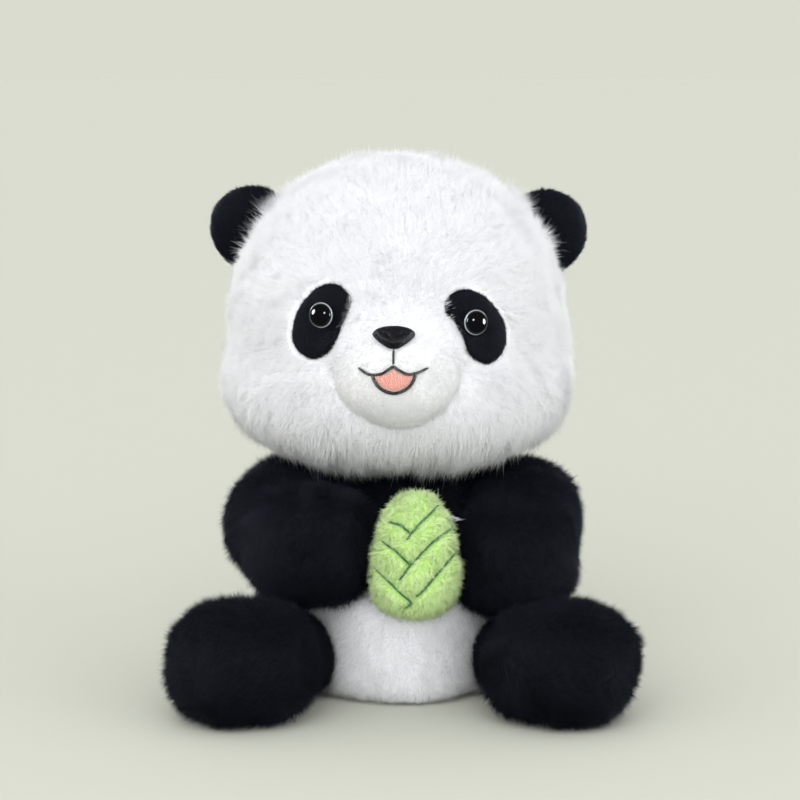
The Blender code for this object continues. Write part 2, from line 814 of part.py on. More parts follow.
# --- torso: black upper panel, white belly panel, stuffing and pellets
outer = star(BODY_CORE, body_field, BODY_N)
inner = star(BODY_CORE, body_field, BODY_N, -CLOTH)
torso = shell_object("torso_shell", outer, inner)
cut(
    torso,
    [
        block((-FAR, -FAR, -FAR), (FAR, FAR, WAIST_Z + WAIST_GAP / 2)),
        rod(NECK, (0, 0, -1), NECK_POST + 1.0, 60.0, 24),
        root_cutter(SHOULDER["left"], SHOULDER_R + JOINT_GAP),
        root_cutter(SHOULDER["right"], SHOULDER_R + JOINT_GAP),
        limb_cutter("left", "arm", JOINT_GAP),
        limb_cutter("right", "arm", JOINT_GAP),
    ],
)
finish(torso, BLACK_FUR, 0.9, sheen=0.3)

belly = shell_object("belly_shell", outer, inner)
cut(
    belly,
    [
        block((-FAR, -FAR, WAIST_Z - WAIST_GAP / 2), (FAR, FAR, FAR)),
        limb_cutter("left", "leg", JOINT_GAP),
        limb_cutter("right", "leg", JOINT_GAP),
        root_cutter(HIP["left"], HIP_R + JOINT_GAP + 0.4),
        root_cutter(HIP["right"], HIP_R + JOINT_GAP + 0.4),
        root_cutter(SHOULDER["left"], SHOULDER_R + JOINT_GAP),
        root_cutter(SHOULDER["right"], SHOULDER_R + JOINT_GAP),
        limb_cutter("left", "arm", JOINT_GAP),
        limb_cutter("right", "arm", JOINT_GAP),
    ],
)
finish(belly, WHITE_FUR, 0.9, sheen=0.3)

pellets = mesh_object("pellet_bag", *star(PELLETS[0], oval(*PELLETS), 5))
finish(pellets, PELLET_CLOTH, 0.9)


def pellet_room(p):
    q = p.copy()
    q[:, 2] = np.maximum(q[:, 2], PELLETS[0][2])
    return oval(*PELLETS)(q)


room_points, room_faces = star(PELLETS[0], lambda p: np.maximum(pellet_room(p) - 1.2, -p[:, 2] - 30.0), 5)
body_fill = mesh_object("body_stuffing", *star(BODY_CORE, body_field, BODY_N, -CLOTH - FILL_GAP))
cut(
    body_fill,
    [rod(NECK, (0, 0, -1), NECK_POST + 0.8, NECK[2] - NECK_FOOT_Z + 0.8, 24)]
    + [root_cutter(SHOULDER[s], SHOULDER_R + JOINT_GAP + 0.8, 4) for s in SHOULDER]
    + [limb_cutter(s, "arm", JOINT_GAP + 0.4) for s in SHOULDER]
    + [limb_cutter(s, "leg", JOINT_GAP + 0.4) for s in HIP]
    + [root_cutter(HIP[s], HIP_R + JOINT_GAP + 1.2, 4) for s in HIP]
    + [mesh_object("cutter", room_points, room_faces)],
)
finish(body_fill, FILLING, 0.95)

# --- the bamboo shoot, which is tacked to the left paw and goes where it goes
shoot_outer = star(SHOOT_AT, shoot_field, SHOOT_N, 0.0, 60.0)
shoot = shell_object(
    "shoot_shell", shoot_outer, star(SHOOT_AT, shoot_field, SHOOT_N, -THIN_CLOTH, 60.0)
)
cut(shoot, [rod(SHOOT_AT, (0, 0, -1), SHOOT_MOUTH, 40.0, 14)])
finish(shoot, LIME, 0.9, SHOULDER["left"], sheen=0.3)
shoot_fill = mesh_object(
    "shoot_stuffing", *star(SHOOT_AT, shoot_field, SHOOT_N, -THIN_CLOTH - FILL_GAP, 60.0)
)
finish(shoot_fill, FILLING, 0.95, SHOULDER["left"])
for name, line in SHOOT_STITCH.items():
    obj = thread(f"shoot_stitch_{name}", on_front(shoot_field, line, lift, 2), STITCH_R)
    finish(obj, DARK_GREEN, 0.7, SHOULDER["left"])

# --- arms
for side in SHOULDER:
    field, core = arm_field[side], ARM_CORE[side]
    arm = shell_object(
        f"arm_{side}",
        star(core, field, LIMB_N, 0.0, 90.0),
        star(core, field, LIMB_N, -CLOTH, 90.0),
    )
    inward = np.array(BODY_CORE) + (0, 0, 18) - np.array(SHOULDER[side])
    grip = mesh_object("cutter", *star(SHOOT_AT, shoot_field, SHOOT_N + 2, 0.7, 60.0))
    cut(arm, [rod(SHOULDER[side], inward, ARM_MOUTH, 40.0, 16), grip])
    finish(arm, BLACK_FUR, 0.9, SHOULDER[side], sheen=0.3)
    fill = mesh_object(f"arm_stuffing_{side}", *star(core, field, LIMB_N, -CLOTH - FILL_GAP, 90.0))
    finish(fill, FILLING, 0.95, SHOULDER[side])

# --- legs
for side in HIP:
    field, core = leg_field[side], LEG_CORE[side]
    leg = shell_object(
        f"leg_{side}",
        star(core, field, LIMB_N, 0.0, 90.0),
        star(core, field, LIMB_N, -CLOTH, 90.0),
    )
    inward = np.array((0.0, 10.0, 34.0)) - np.array(HIP[side])
    cut(leg, [rod(HIP[side], inward, LEG_MOUTH, 40.0, 16)])
    finish(leg, BLACK_FUR, 0.9, HIP[side], sheen=0.3)
    fill = mesh_object(f"leg_stuffing_{side}", *star(core, field, LIMB_N, -CLOTH - FILL_GAP, 90.0))
    finish(fill, FILLING, 0.95, HIP[side])

# --- the thread that tacks the shoot to the left paw
paw = arm_field["left"]
y0 = SHOOT_AT[1]
xs = np.linspace(SHOOT_AT[0], 60.0, 600)
row = np.stack((xs, np.full(600, y0), np.full(600, TACK_Z)), axis=1)
x_shoot = xs[np.argmax(shoot_field(row) > THREAD_R + 0.35)]
row2 = np.stack((xs, np.full(600, y0 + 3.0), np.full(600, TACK_Z - 1.0)), axis=1)
x_paw = xs[len(xs) - 1 - np.argmax((paw(row2) > THREAD_R + 0.35)[::-1])]
inside_paw = np.flatnonzero(paw(row2) < THREAD_R + 0.35)
x_paw = xs[inside_paw[0] - 1] if len(inside_paw) else 30.0
a = np.array((x_shoot, y0, TACK_Z))
b = np.array((x_paw, y0 + 3.0, TACK_Z - 1.0))
bow = (a + b) / 2 + np.array((0.0, -1.6, 0.6))
tack = thread("shoot_tack_thread", smooth_path((a, bow, b), 4), THREAD_R)
finish(tack, FILLING, 0.7, SHOULDER["left"])

for mesh in [m for m in bpy.data.meshes if not m.users]:
    bpy.data.meshes.remove(mesh)
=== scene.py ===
import math

import bmesh
import bpy
import numpy as np
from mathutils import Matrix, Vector


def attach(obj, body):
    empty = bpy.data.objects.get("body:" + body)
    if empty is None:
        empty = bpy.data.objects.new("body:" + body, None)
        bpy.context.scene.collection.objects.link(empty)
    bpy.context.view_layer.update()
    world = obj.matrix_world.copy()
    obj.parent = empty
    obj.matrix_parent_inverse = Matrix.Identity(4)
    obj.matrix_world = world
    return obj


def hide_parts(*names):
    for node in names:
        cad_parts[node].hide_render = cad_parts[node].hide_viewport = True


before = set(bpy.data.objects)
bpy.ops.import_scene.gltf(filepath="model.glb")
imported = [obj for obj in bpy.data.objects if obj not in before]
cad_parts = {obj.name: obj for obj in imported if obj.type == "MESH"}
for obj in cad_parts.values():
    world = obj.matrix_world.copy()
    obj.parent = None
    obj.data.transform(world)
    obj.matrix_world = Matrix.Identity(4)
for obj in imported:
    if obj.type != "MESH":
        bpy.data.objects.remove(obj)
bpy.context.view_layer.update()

# ------------------------------------------------------------------ the shapes
# Millimetres from a point on the floor under the neck, as in the CAD source; at()
# turns them into the frame's metres.
ORIGIN = np.array((0.0, -32.0, 1.0))

HEAD_X, HEAD_Y = -2.6, -12.0
HEAD_DOME = ((HEAD_X, HEAD_Y, 160.0), (70.0, 58.5, 66.5))
HEAD_UNDER = 54.0
HEAD_CHEEKS = ((HEAD_X, HEAD_Y - 3.0, 129.5), (71.5, 56.5, 28.0))
HEAD_CORE = (HEAD_X, HEAD_Y, 150.0)
NECK = (0.0, 4.0, 112.0)
BELLY = ((0.0, -2.0, 47.0), (57.0, 51.0, 46.0))
LAP = ((-1.0, -14.0, 24.0), (45.0, 46.0, 23.0))
CHEST = ((0.0, 4.0, 69.0), (44.0, 40.0, 28.0))
SEAT_Z = 1.0
BODY_CORE = (0.0, 3.0, 50.0)
WAIST_Z = 58.0
SHOULDER = {"left": (51.0, -6.0, 72.0), "right": (-51.0, -6.0, 72.0)}
SHOULDER_R = 24.5
ARM = {
    "left": (
        ((50.0, -33.0, 71.0), (25.0, 25.0, 25.0)),
        ((47.0, -56.0, 62.0), (25.5, 23.5, 24.0)),
    ),
    "right": (
        ((-49.5, -33.0, 72.0), (25.5, 25.0, 25.0)),
        ((-39.5, -58.0, 68.5), (27.0, 24.0, 23.5)),
    ),
}
ARM_CORE = {"left": (50.0, -30.0, 69.0), "right": (-48.0, -30.0, 71.0)}
HIP = {"left": (46.0, -12.0, 23.5), "right": (-46.0, -12.0, 23.5)}
HIP_R = 21.5
LEG = {
    s: (
        ((m * 54.0, -47.0, 19.0), (24.5, 33.0, 17.5)),
        ((m * 64.2, -85.0, 24.5), (30.8, 29.0, 24.0)),
    )
    for s, m in (("left", 1.0), ("right", -1.0))
}
LEG["right"] = (LEG["right"][0], ((-66.0, -85.0, 24.5), (30.4, 29.0, 24.0)))
LEG_CORE = {"left": (56.0, -50.0, 24.0), "right": (-56.0, -50.0, 24.0)}
EAR_DISC = (17.6, 6.8, 17.6)
EAR = {"left": (61.0, -5.0, 196.0), "right": (-65.5, -5.0, 197.5)}
EAR_LIFT = {"left": 33.0, "right": 34.0}
MUZZLE = ((-2.9, -62.0, 141.4), (26.4, 21.5, 21.0))
NOSE_AT = (-4.2, 158.6)
EYE_R = 5.2
EYE_AT = {"left": (29.3, 163.2), "right": (-34.0, 166.2)}
PATCH = {
    "right": (
        (-29.2, 178.7), (-24.4, 176.6), (-21.6, 171.9), (-26.0, 160.9),
        (-28.9, 154.3), (-32.6, 149.8), (-37.6, 147.7), (-42.6, 149.6),
        (-45.6, 153.6), (-46.2, 158.6), (-43.7, 167.6), (-37.9, 175.0),
        (-33.6, 177.8),
    ),
    "left": (
        (24.2, 176.2), (18.9, 174.2), (16.6, 168.8), (21.4, 162.2),
        (24.7, 156.0), (27.2, 149.6), (33.8, 145.6), (39.4, 148.2),
        (42.2, 154.6), (40.9, 163.0), (35.9, 170.5), (29.9, 175.0),
    ),
}
MOUTH_LINE = (
    (-18.5, 146.0), (-14.3, 143.8), (-9.8, 144.0), (-6.4, 145.9), (-4.4, 147.0),
    (-2.2, 145.7), (1.4, 144.0), (5.4, 144.4), (9.6, 146.2),
)
LIP_LINE = (
    (-13.0, 143.6), (-12.2, 141.4), (-10.4, 138.8), (-7.6, 137.0), (-4.1, 136.2),
    (-0.6, 137.1), (2.3, 139.1), (3.9, 141.6), (4.6, 143.9),
)
PHILTRUM = ((-4.3, 153.6), (-4.4, 151.0), (-4.4, 147.8))
MOUTH_FILL = (
    (-12.0, 143.2), (-9.4, 143.3), (-6.2, 144.8), (-4.4, 146.0), (-2.4, 144.8),
    (1.0, 143.3), (3.2, 143.2), (1.8, 140.0), (-1.0, 137.7), (-4.1, 136.9),
    (-7.4, 137.6), (-10.0, 139.7),
)
SHOOT_AT = (4.6, -68.5, 66.5)
SHOOT_R = (16.8, 13.4, 25.0)
SHOOT_TAPER = 0.0085
SHOOT_STITCH = {
    "top": ((13.0, 86.0), (6.5, 80.6), (2.6, 76.6), (0.8, 76.8), (-3.2, 80.6), (-8.6, 80.6)),
    "middle": (
        (18.6, 77.4), (12.2, 73.8), (6.5, 68.2), (2.6, 65.0), (0.0, 66.6),
        (-3.8, 70.4), (-9.0, 73.0),
    ),
    "low": (
        (19.6, 69.4), (16.4, 63.6), (10.6, 57.6), (5.2, 51.4), (2.2, 49.4),
        (-1.7, 53.0), (-6.6, 58.0), (-11.0, 61.0),
    ),
}


# ------------------------------------------------------------------ fields
def as_distance(size):
    def field(p):
        step = 0.01
        slope = np.stack(
            [(size(p + step * a) - size(p - step * a)) / (2 * step) for a in np.eye(3)],
            axis=1,
        )
        return (size(p) - 1) / np.maximum(np.linalg.norm(slope, axis=1), 1e-6)

    return field


def oval(centre, radii, power=2.0, turn=None, under=None):
    centre, radii = np.array(centre), np.array(radii)

    def size(p):
        q = p - centre
        if turn is not None:
            q = q @ turn
        tall = radii[2] if under is None else np.where(q[:, 2] < 0, under, radii[2])
        flat = np.sqrt((q[:, 0] / radii[0]) ** 2 + (q[:, 1] / radii[1]) ** 2)
        high = np.abs(q[:, 2]) / tall
        return (flat**power + high**power + 1e-12) ** (1 / power)

    return as_distance(size)


def join(fields, blend):
    def field(p):
        out = fields[0](p)
        for f in fields[1:]:
            other = f(p)
            h = np.clip(0.5 + 0.5 * (other - out) / blend, 0, 1)
            out = other * (1 - h) + out * h - blend * h * (1 - h)
        return out

    return field


def carve(field, tool, gap, blend=2.0):
    """field with tool grown by gap taken away, softly."""

    def out(p):
        a, b = field(p), gap - tool(p)
        h = np.clip(0.5 - 0.5 * (b - a) / blend, 0, 1)
        return b * (1 - h) + a * h + blend * h * (1 - h)

    return out


def dented(field, spots):
    """field pushed in around each (point, depth, spread)."""

    def out(p):
        d = field(p)
        for at_, depth, spread in spots:
            d = d + depth * np.exp(-((p - np.array(at_)) ** 2).sum(1) / (2 * spread**2))
        return d

    return out


head_plain = join((oval(*HEAD_DOME, power=2.1, under=HEAD_UNDER), oval(*HEAD_CHEEKS, power=2.5)), 10.0)
body_round = join((oval(*BELLY, power=3.0), oval(*CHEST), oval(*LAP, power=3.0)), 10.0)


def body_plain(p):
    return np.maximum(body_round(p), SEAT_Z - p[:, 2])


leg_plain = {
    s: join([oval(HIP[s], (HIP_R,) * 3)] + [oval(*o, power=2.5) for o in LEG[s]], 8.0)
    for s in HIP
}
arm_plain = {
    s: carve(
        join(
            (
                oval(SHOULDER[s], (SHOULDER_R,) * 3),
                oval(*ARM[s][0]),
                oval(np.array(ARM[s][1][0]) - (0.8 * (s == "left"), 0, 0), np.array(ARM[s][1][1]) - (0.8 * (s == "left"), 0, 0), power=2.8),
            ),
            8.0,
        ),
        leg_plain[s], 2.2,
    )
    for s in SHOULDER
}
muzzle_plain = oval(*MUZZLE, power=2.2)


def shoot_size(p):
    q = p - np.array(SHOOT_AT)
    taper = np.clip(1 - SHOOT_TAPER * q[:, 2], 0.4, 1.6)
    q = np.abs(q)
    flat = np.sqrt((q[:, 0] / (SHOOT_R[0] * taper)) ** 2 + (q[:, 1] / (SHOOT_R[1] * taper)) ** 2)
    return (flat**2.6 + (q[:, 2] / SHOOT_R[2]) ** 2.6 + 1e-12) ** (1 / 2.6)


shoot_plain = as_distance(shoot_size)


def ear_frame(side):
    m = 1.0 if side == "left" else -1.0
    lift = math.radians(EAR_LIFT[side])
    out = np.array((m * math.cos(lift), 0.0, math.sin(lift)))
    along = np.array((-m * math.sin(lift), 0.0, math.cos(lift)))
    return np.stack((along, np.array((0.0, 1.0, 0.0)), out), axis=1)


def ear_plain(side):
    turn, centre = ear_frame(side), np.array(EAR[side])

    def size(p):
        q = np.abs((p - centre) @ turn) / np.array(EAR_DISC)
        round_ = np.sqrt(q[:, 0] ** 2 + q[:, 2] ** 2)
        return (round_**2.6 + q[:, 1] ** 2.6 + 1e-12) ** (1 / 2.6)

    return as_distance(size)


# ------------------------------------------------------------------ meshes
def at(p):
    return (np.asarray(p, float) - ORIGIN) * 0.001


def directions(n):
    index, points, tris = {}, [], []
    ramp = np.tan(np.linspace(-math.pi / 4, math.pi / 4, n + 1))

    def put(v):
        key = (round(v[0], 6), round(v[1], 6), round(v[2], 6))
        if key not in index:
            index[key] = len(points)
            r = math.sqrt(v[0] ** 2 + v[1] ** 2 + v[2] ** 2)
            points.append((v[0] / r, v[1] / r, v[2] / r))
        return index[key]

    for axis in range(3):
        u, w = (axis + 1) % 3, (axis + 2) % 3
        for sign in (1.0, -1.0):
            grid = []
            for i in range(n + 1):
                row = []
                for j in range(n + 1):
                    v = [0.0, 0.0, 0.0]
                    v[axis], v[u], v[w] = sign, ramp[i], ramp[j]
                    row.append(put(v))
                grid.append(row)
            for i in range(n):
                for j in range(n):
                    a, b, c, d = grid[i][j], grid[i + 1][j], grid[i + 1][j + 1], grid[i][j + 1]
                    if sign < 0:
                        a, b, c, d = d, c, b, a
                    tris += [(a, b, c), (a, c, d)]
    return np.array(points), np.array(tris)


def star(core, field, n, level=0.0, start=6.0):
    rays, tris = directions(n)
    core = np.array(core, float)
    t = np.full(len(rays), start)
    for _ in range(45):
        t = np.maximum(t + (level - field(core + rays * t[:, None])) * 0.75, 0.5)
    return core + rays * t[:, None], tris


def normals_of(v, f):
    n = np.cross(v[f[:, 1]] - v[f[:, 0]], v[f[:, 2]] - v[f[:, 0]])
    out = np.zeros_like(v)
    for k in range(3):
        np.add.at(out, f[:, k], n)
    return out / np.maximum(np.linalg.norm(out, axis=1, keepdims=True), 1e-12)


def mesh_object(name, v, f, uvs=None, smooth=True, frame_mm=True, normals=None):
    """A mesh object from arrays; uvs is {map name: one (u, v) per vertex}."""
    v = at(v) if frame_mm else np.asarray(v, float)
    f = np.asarray(f, np.int32)
    data = bpy.data.meshes.new(name)
    side = f.shape[1]
    data.vertices.add(len(v))
    data.vertices.foreach_set("co", v.astype(np.float32).ravel())
    data.loops.add(len(f) * side)
    data.loops.foreach_set("vertex_index", f.ravel())
    data.polygons.add(len(f))
    data.polygons.foreach_set("loop_start", np.arange(0, len(f) * side, side, dtype=np.int32))
    data.polygons.foreach_set("loop_total", np.full(len(f), side, np.int32))
    for key, uv in (uvs or {}).items():
        layer = data.uv_layers.new(name=key)
        layer.data.foreach_set("uv", np.asarray(uv, np.float32)[f.ravel()].ravel())
    data.update(calc_edges=True)
    data.validate()
    data.polygons.foreach_set("use_smooth", np.full(len(data.polygons), smooth))
    if normals is not None:
        held = data.attributes.new("custom_normal", "FLOAT_VECTOR", "POINT")
        held.data.foreach_set("vector", np.asarray(normals, np.float32).ravel())
        data.update()
    obj = bpy.data.objects.new(name, data)
    bpy.context.scene.collection.objects.link(obj)
    return obj


def front(field, level, x, z, start=-130.0, stop=10.0):
    x, z = np.atleast_1d(x).astype(float), np.atleast_1d(z).astype(float)
    low, high = np.full(len(x), start), np.full(len(x), stop)
    found = np.zeros(len(x), bool)
    for y in np.arange(start, stop, 1.0):
        inside = field(np.stack((x, np.full(len(x), y), z), axis=1)) < level
        new = inside & ~found
        high[new], low[new] = y, y - 1
        found |= inside
    for _ in range(24):
        mid = (low + high) / 2
        inside = field(np.stack((x, mid, z), axis=1)) < level
        high, low = np.where(inside, mid, high), np.where(inside, low, mid)
    return (low + high) / 2


def slope(field, p):
    e = 0.05
    p = np.atleast_2d(np.asarray(p, float))
    g = np.stack([field(p + e * a) - field(p - e * a) for a in np.eye(3)], axis=1)
    return g / np.maximum(np.linalg.norm(g, axis=1, keepdims=True), 1e-9)


def smooth_path(points, per=6, closed=False):
    p = np.array(points, float)
    if closed:
        p = np.vstack((p[-1], p, p[0], p[1]))
    else:
        p = np.vstack((2 * p[0] - p[1], p, 2 * p[-1] - p[-2]))
    out = []
    for i in range(1, len(p) - 2):
        for t in np.arange(per) / per:
            a, b, c, d = p[i - 1 : i + 3]
            out.append(0.5 * (2 * b + (c - a) * t + (2 * a - 5 * b + 4 * c - d) * t * t + (3 * b - a - 3 * c + d) * t**3))
    if not closed:
        out.append(p[-2])
    return np.array(out)


def inside_outline(line, x, z):
    """Whether points are inside a closed outline, and how far they are from it."""
    line = np.asarray(line)
    n = len(line)
    inside = np.zeros(len(x), bool)
    near = np.full(len(x), 1e9)
    for i in range(n):
        (x1, z1), (x2, z2) = line[i], line[(i + 1) % n]
        crosses = (z1 > z) != (z2 > z)
        with np.errstate(divide="ignore", invalid="ignore"):
            at_x = (x2 - x1) * (z - z1) / (z2 - z1) + x1
        inside ^= crosses & (x < at_x)
        d = np.array((x2 - x1, z2 - z1))
        t = np.clip(((x - x1) * d[0] + (z - z1) * d[1]) / max(d @ d, 1e-9), 0, 1)
        near = np.minimum(near, np.hypot(x - x1 - t * d[0], z - z1 - t * d[1]))
    return inside, near


def line_distance(line, x, z):
    near = np.full(len(x), 1e9)
    for (x1, z1), (x2, z2) in zip(line, line[1:]):
        d = np.array((x2 - x1, z2 - z1))
        t = np.clip(((x - x1) * d[0] + (z - z1) * d[1]) / max(d @ d, 1e-9), 0, 1)
        near = np.minimum(near, np.hypot(x - x1 - t * d[0], z - z1 - t * d[1]))
    return near


# ------------------------------------------------------------------ fur
def wave_noise(seed, size, count=20):
    """A smooth vector field over space, about 1 long, with features near size mm."""
    r = np.random.RandomState(seed)
    k = r.normal(size=(count, 3))
    k /= np.linalg.norm(k, axis=1, keepdims=True)
    k *= (2 * math.pi / size) * r.uniform(0.6, 1.5, (count, 1))
    phase = r.uniform(0, 2 * math.pi, (count, 3))
    amp = r.normal(size=(count, 3)) / math.sqrt(count) * 1.2

    def field(p):
        base = p @ k.T
        return np.stack([(np.sin(base + phase[:, c]) * amp[:, c]).sum(1) for c in range(3)], axis=1)

    return field


def unit(v):
    return v / np.maximum(np.linalg.norm(v, axis=1, keepdims=True), 1e-9)


def unit_last(v):
    return v / np.maximum(np.linalg.norm(v, axis=-1, keepdims=True), 1e-9)


def tangent(v, n):
    return v - n * (v * n).sum(1, keepdims=True)


def fur(
    name, skin, count, length, comb, body, material, seed,
    lean=0.55, bend=0.5, sag=0.15, width=0.15, segments=2, mask=None, avoid=(),
    wild=(0.30, 0.22, 0.12), clump=(14.0, 4.5), spread=0.25, most=195000,
    centre=None, floor=True, flow=0.75, dense=None,
):
    """Strands standing on skin, as closed-sided tapering spikes. length and comb are
    functions of the root points (and normals)."""
    v, f = skin
    r = np.random.RandomState(seed)
    n = normals_of(v, f)
    a, b, c = v[f[:, 0]], v[f[:, 1]], v[f[:, 2]]
    area = np.linalg.norm(np.cross(b - a, c - a), axis=1)
    if dense is not None:
        area = area * dense((a + b + c) / 3)
    pick = np.searchsorted(np.cumsum(area) / area.sum(), r.uniform(size=count))
    pick = np.minimum(pick, len(f) - 1)
    s, t = r.uniform(size=(2, count))
    flip = s + t > 1
    s[flip], t[flip] = 1 - s[flip], 1 - t[flip]
    root = a[pick] + (b - a)[pick] * s[:, None] + (c - a)[pick] * t[:, None]
    up = unit(n[f[pick, 0]] * (1 - s - t)[:, None] + n[f[pick, 1]] * s[:, None] + n[f[pick, 2]] * t[:, None])
    keep = np.ones(count, bool)
    if mask is not None:
        keep &= mask(root)
    for other in avoid:
        keep &= other(root) > -0.2
    root, up = root[keep], up[keep]
    m = len(root)
    long_ = length(root) * (1 + spread * r.normal(size=m).clip(-2, 2))
    way = comb(root, up)
    big, small = wave_noise(seed + 1, clump[0]), wave_noise(seed + 2, clump[1])
    stray = big(root) * wild[0] + small(root) * wild[1] + r.normal(size=(m, 3)) * wild[2]
    side = unit(tangent(way, up))
    lean_ = lean(root) if callable(lean) else np.full(m, lean)
    d0 = unit(up * (1 - 0.55 * lean_)[:, None] + side * lean_[:, None] + tangent(stray, up))
    down = np.array((0.0, 0.0, -1.0))
    foot = root - up * 0.4
    if floor:
        foot[:, 2] = np.maximum(foot[:, 2], ORIGIN[2] + 0.15)
    points = [foot]
    d, p = d0, foot
    step = long_ / segments
    for k in range(segments):
        p = p + d * step[:, None]
        for other in avoid:
            depth = other(p)
            hit = depth < 0.3
            if hit.any():
                push = slope(other, p[hit])
                p[hit] += push * (0.3 - depth[hit])[:, None]
        if floor:
            low = ORIGIN[2] + 0.15 + 0.25 * r.uniform(size=m)
            p[:, 2] = np.maximum(p[:, 2], low)
        points.append(p.copy())
        d = unit(d + side * bend / segments + down * sag / segments + stray * 0.5 / segments)
    # a strand whose tip is still deep in a neighbour is left out
    good = np.ones(m, bool)
    for other in avoid:
        good &= other(points[-1]) > -0.4
    points = [q[good] for q in points]
    up, long_ = up[good], long_[good]
    m = len(points[0])
    shade = r.uniform(size=m)
    # spikes
    ring = 3
    turn = r.uniform(0, 2 * math.pi, m)
    verts, uv_s, uv_b, nor = [], [], [], []
    middle = np.array(centre if centre is not None else v.mean(0))
    rel = unit(points[0] - middle)
    u0 = 0.01 + 0.98 * (np.arctan2(rel[:, 1], rel[:, 0]) / (2 * math.pi) + 0.5)
    v0 = 0.01 + 0.98 * (np.arccos(rel[:, 2].clip(-1, 1)) / math.pi)
    thick = width * (0.75 + 0.5 * r.uniform(size=m))
    for k in range(segments + 1):
        axis = unit(points[min(k + 1, segments)] - points[max(k - 1, 0)])
        x = np.cross(axis, up + 0.01)
        x = unit(x)
        y = np.cross(axis, x)
        share = k / segments
        if k == segments:
            nor.append(up[:, None, :])
            verts.append(points[k][:, None, :])
            uv_s.append(np.stack((shade, np.full(m, 1.0)), 1)[:, None])
            uv_b.append(np.stack((u0, v0 + 0.0035), 1)[:, None])
        else:
            w = thick * (1.0, 0.95, 0.62, 0.4)[k] if segments == 2 else thick * (1 - 0.75 * share**1.3)
            angles = turn[:, None] + np.arange(ring) * 2 * math.pi / ring
            off = w[:, None, None] * (np.cos(angles)[..., None] * x[:, None] + np.sin(angles)[..., None] * y[:, None])
            verts.append(points[k][:, None, :] + off)
            nor.append(unit_last(flow * up[:, None, :] + (1 - flow) * unit_last(off)))
            uv_s.append(np.repeat(np.stack((shade, np.full(m, share)), 1)[:, None], ring, 1))
            du = (np.array((-1.0, 1.0, 0.3)) * 0.0016)[None, :] * np.ones((m, 1))
            dv = np.full((m, ring), 0.0022 * (share - 0.5)) + np.array((0.0, 0.0, 0.0012))
            uv_b.append(np.stack((u0[:, None] + du, v0[:, None] + dv), 2))
    verts, nor = np.concatenate(verts, axis=1), np.concatenate(nor, axis=1)
    uv_s, uv_b = np.concatenate(uv_s, axis=1), np.concatenate(uv_b, axis=1)
    per = verts.shape[1]
    tris = []
    for k in range(segments):
        a0 = k * ring
        for i in range(ring):
            j = (i + 1) % ring
            if k == segments - 1:
                tris.append((a0 + i, a0 + j, segments * ring))
            else:
                tris += [(a0 + i, a0 + j, a0 + ring + j), (a0 + i, a0 + ring + j, a0 + ring + i)]
    tris = np.array(tris)
    parts = max(1, math.ceil(m * len(tris) / most))
    order = np.argsort(np.arctan2(rel[good][:, 1] if len(rel) != m else rel[:, 1], rel[:, 0]))
    made = []
    for i in range(parts):
        pick = order[i * m // parts : (i + 1) * m // parts]
        vv = verts[pick].reshape(-1, 3)
        ff = (tris[None] + (np.arange(len(pick)) * per)[:, None, None]).reshape(-1, 3)
        obj = mesh_object(
            name if parts == 1 else f"{name}_{i + 1}", vv, ff,
            {"OFBake": uv_b[pick].reshape(-1, 2), "strand": uv_s[pick].reshape(-1, 2)},
            normals=nor[pick].reshape(-1, 3),
        )
        obj.data.materials.append(material)
        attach(obj, body)
        made.append(obj)
    return made


# ------------------------------------------------------------------ materials
def srgb(r, g, b):
    return tuple(((c / 255 + 0.055) / 1.055) ** 2.4 if c > 10 else c / 255 / 12.92 for c in (r, g, b))


def new_material(name):
    mat = bpy.data.materials.new(name)
    mat.use_nodes = True
    return mat, mat.node_tree.nodes, mat.node_tree.links, mat.node_tree.nodes["Principled BSDF"]


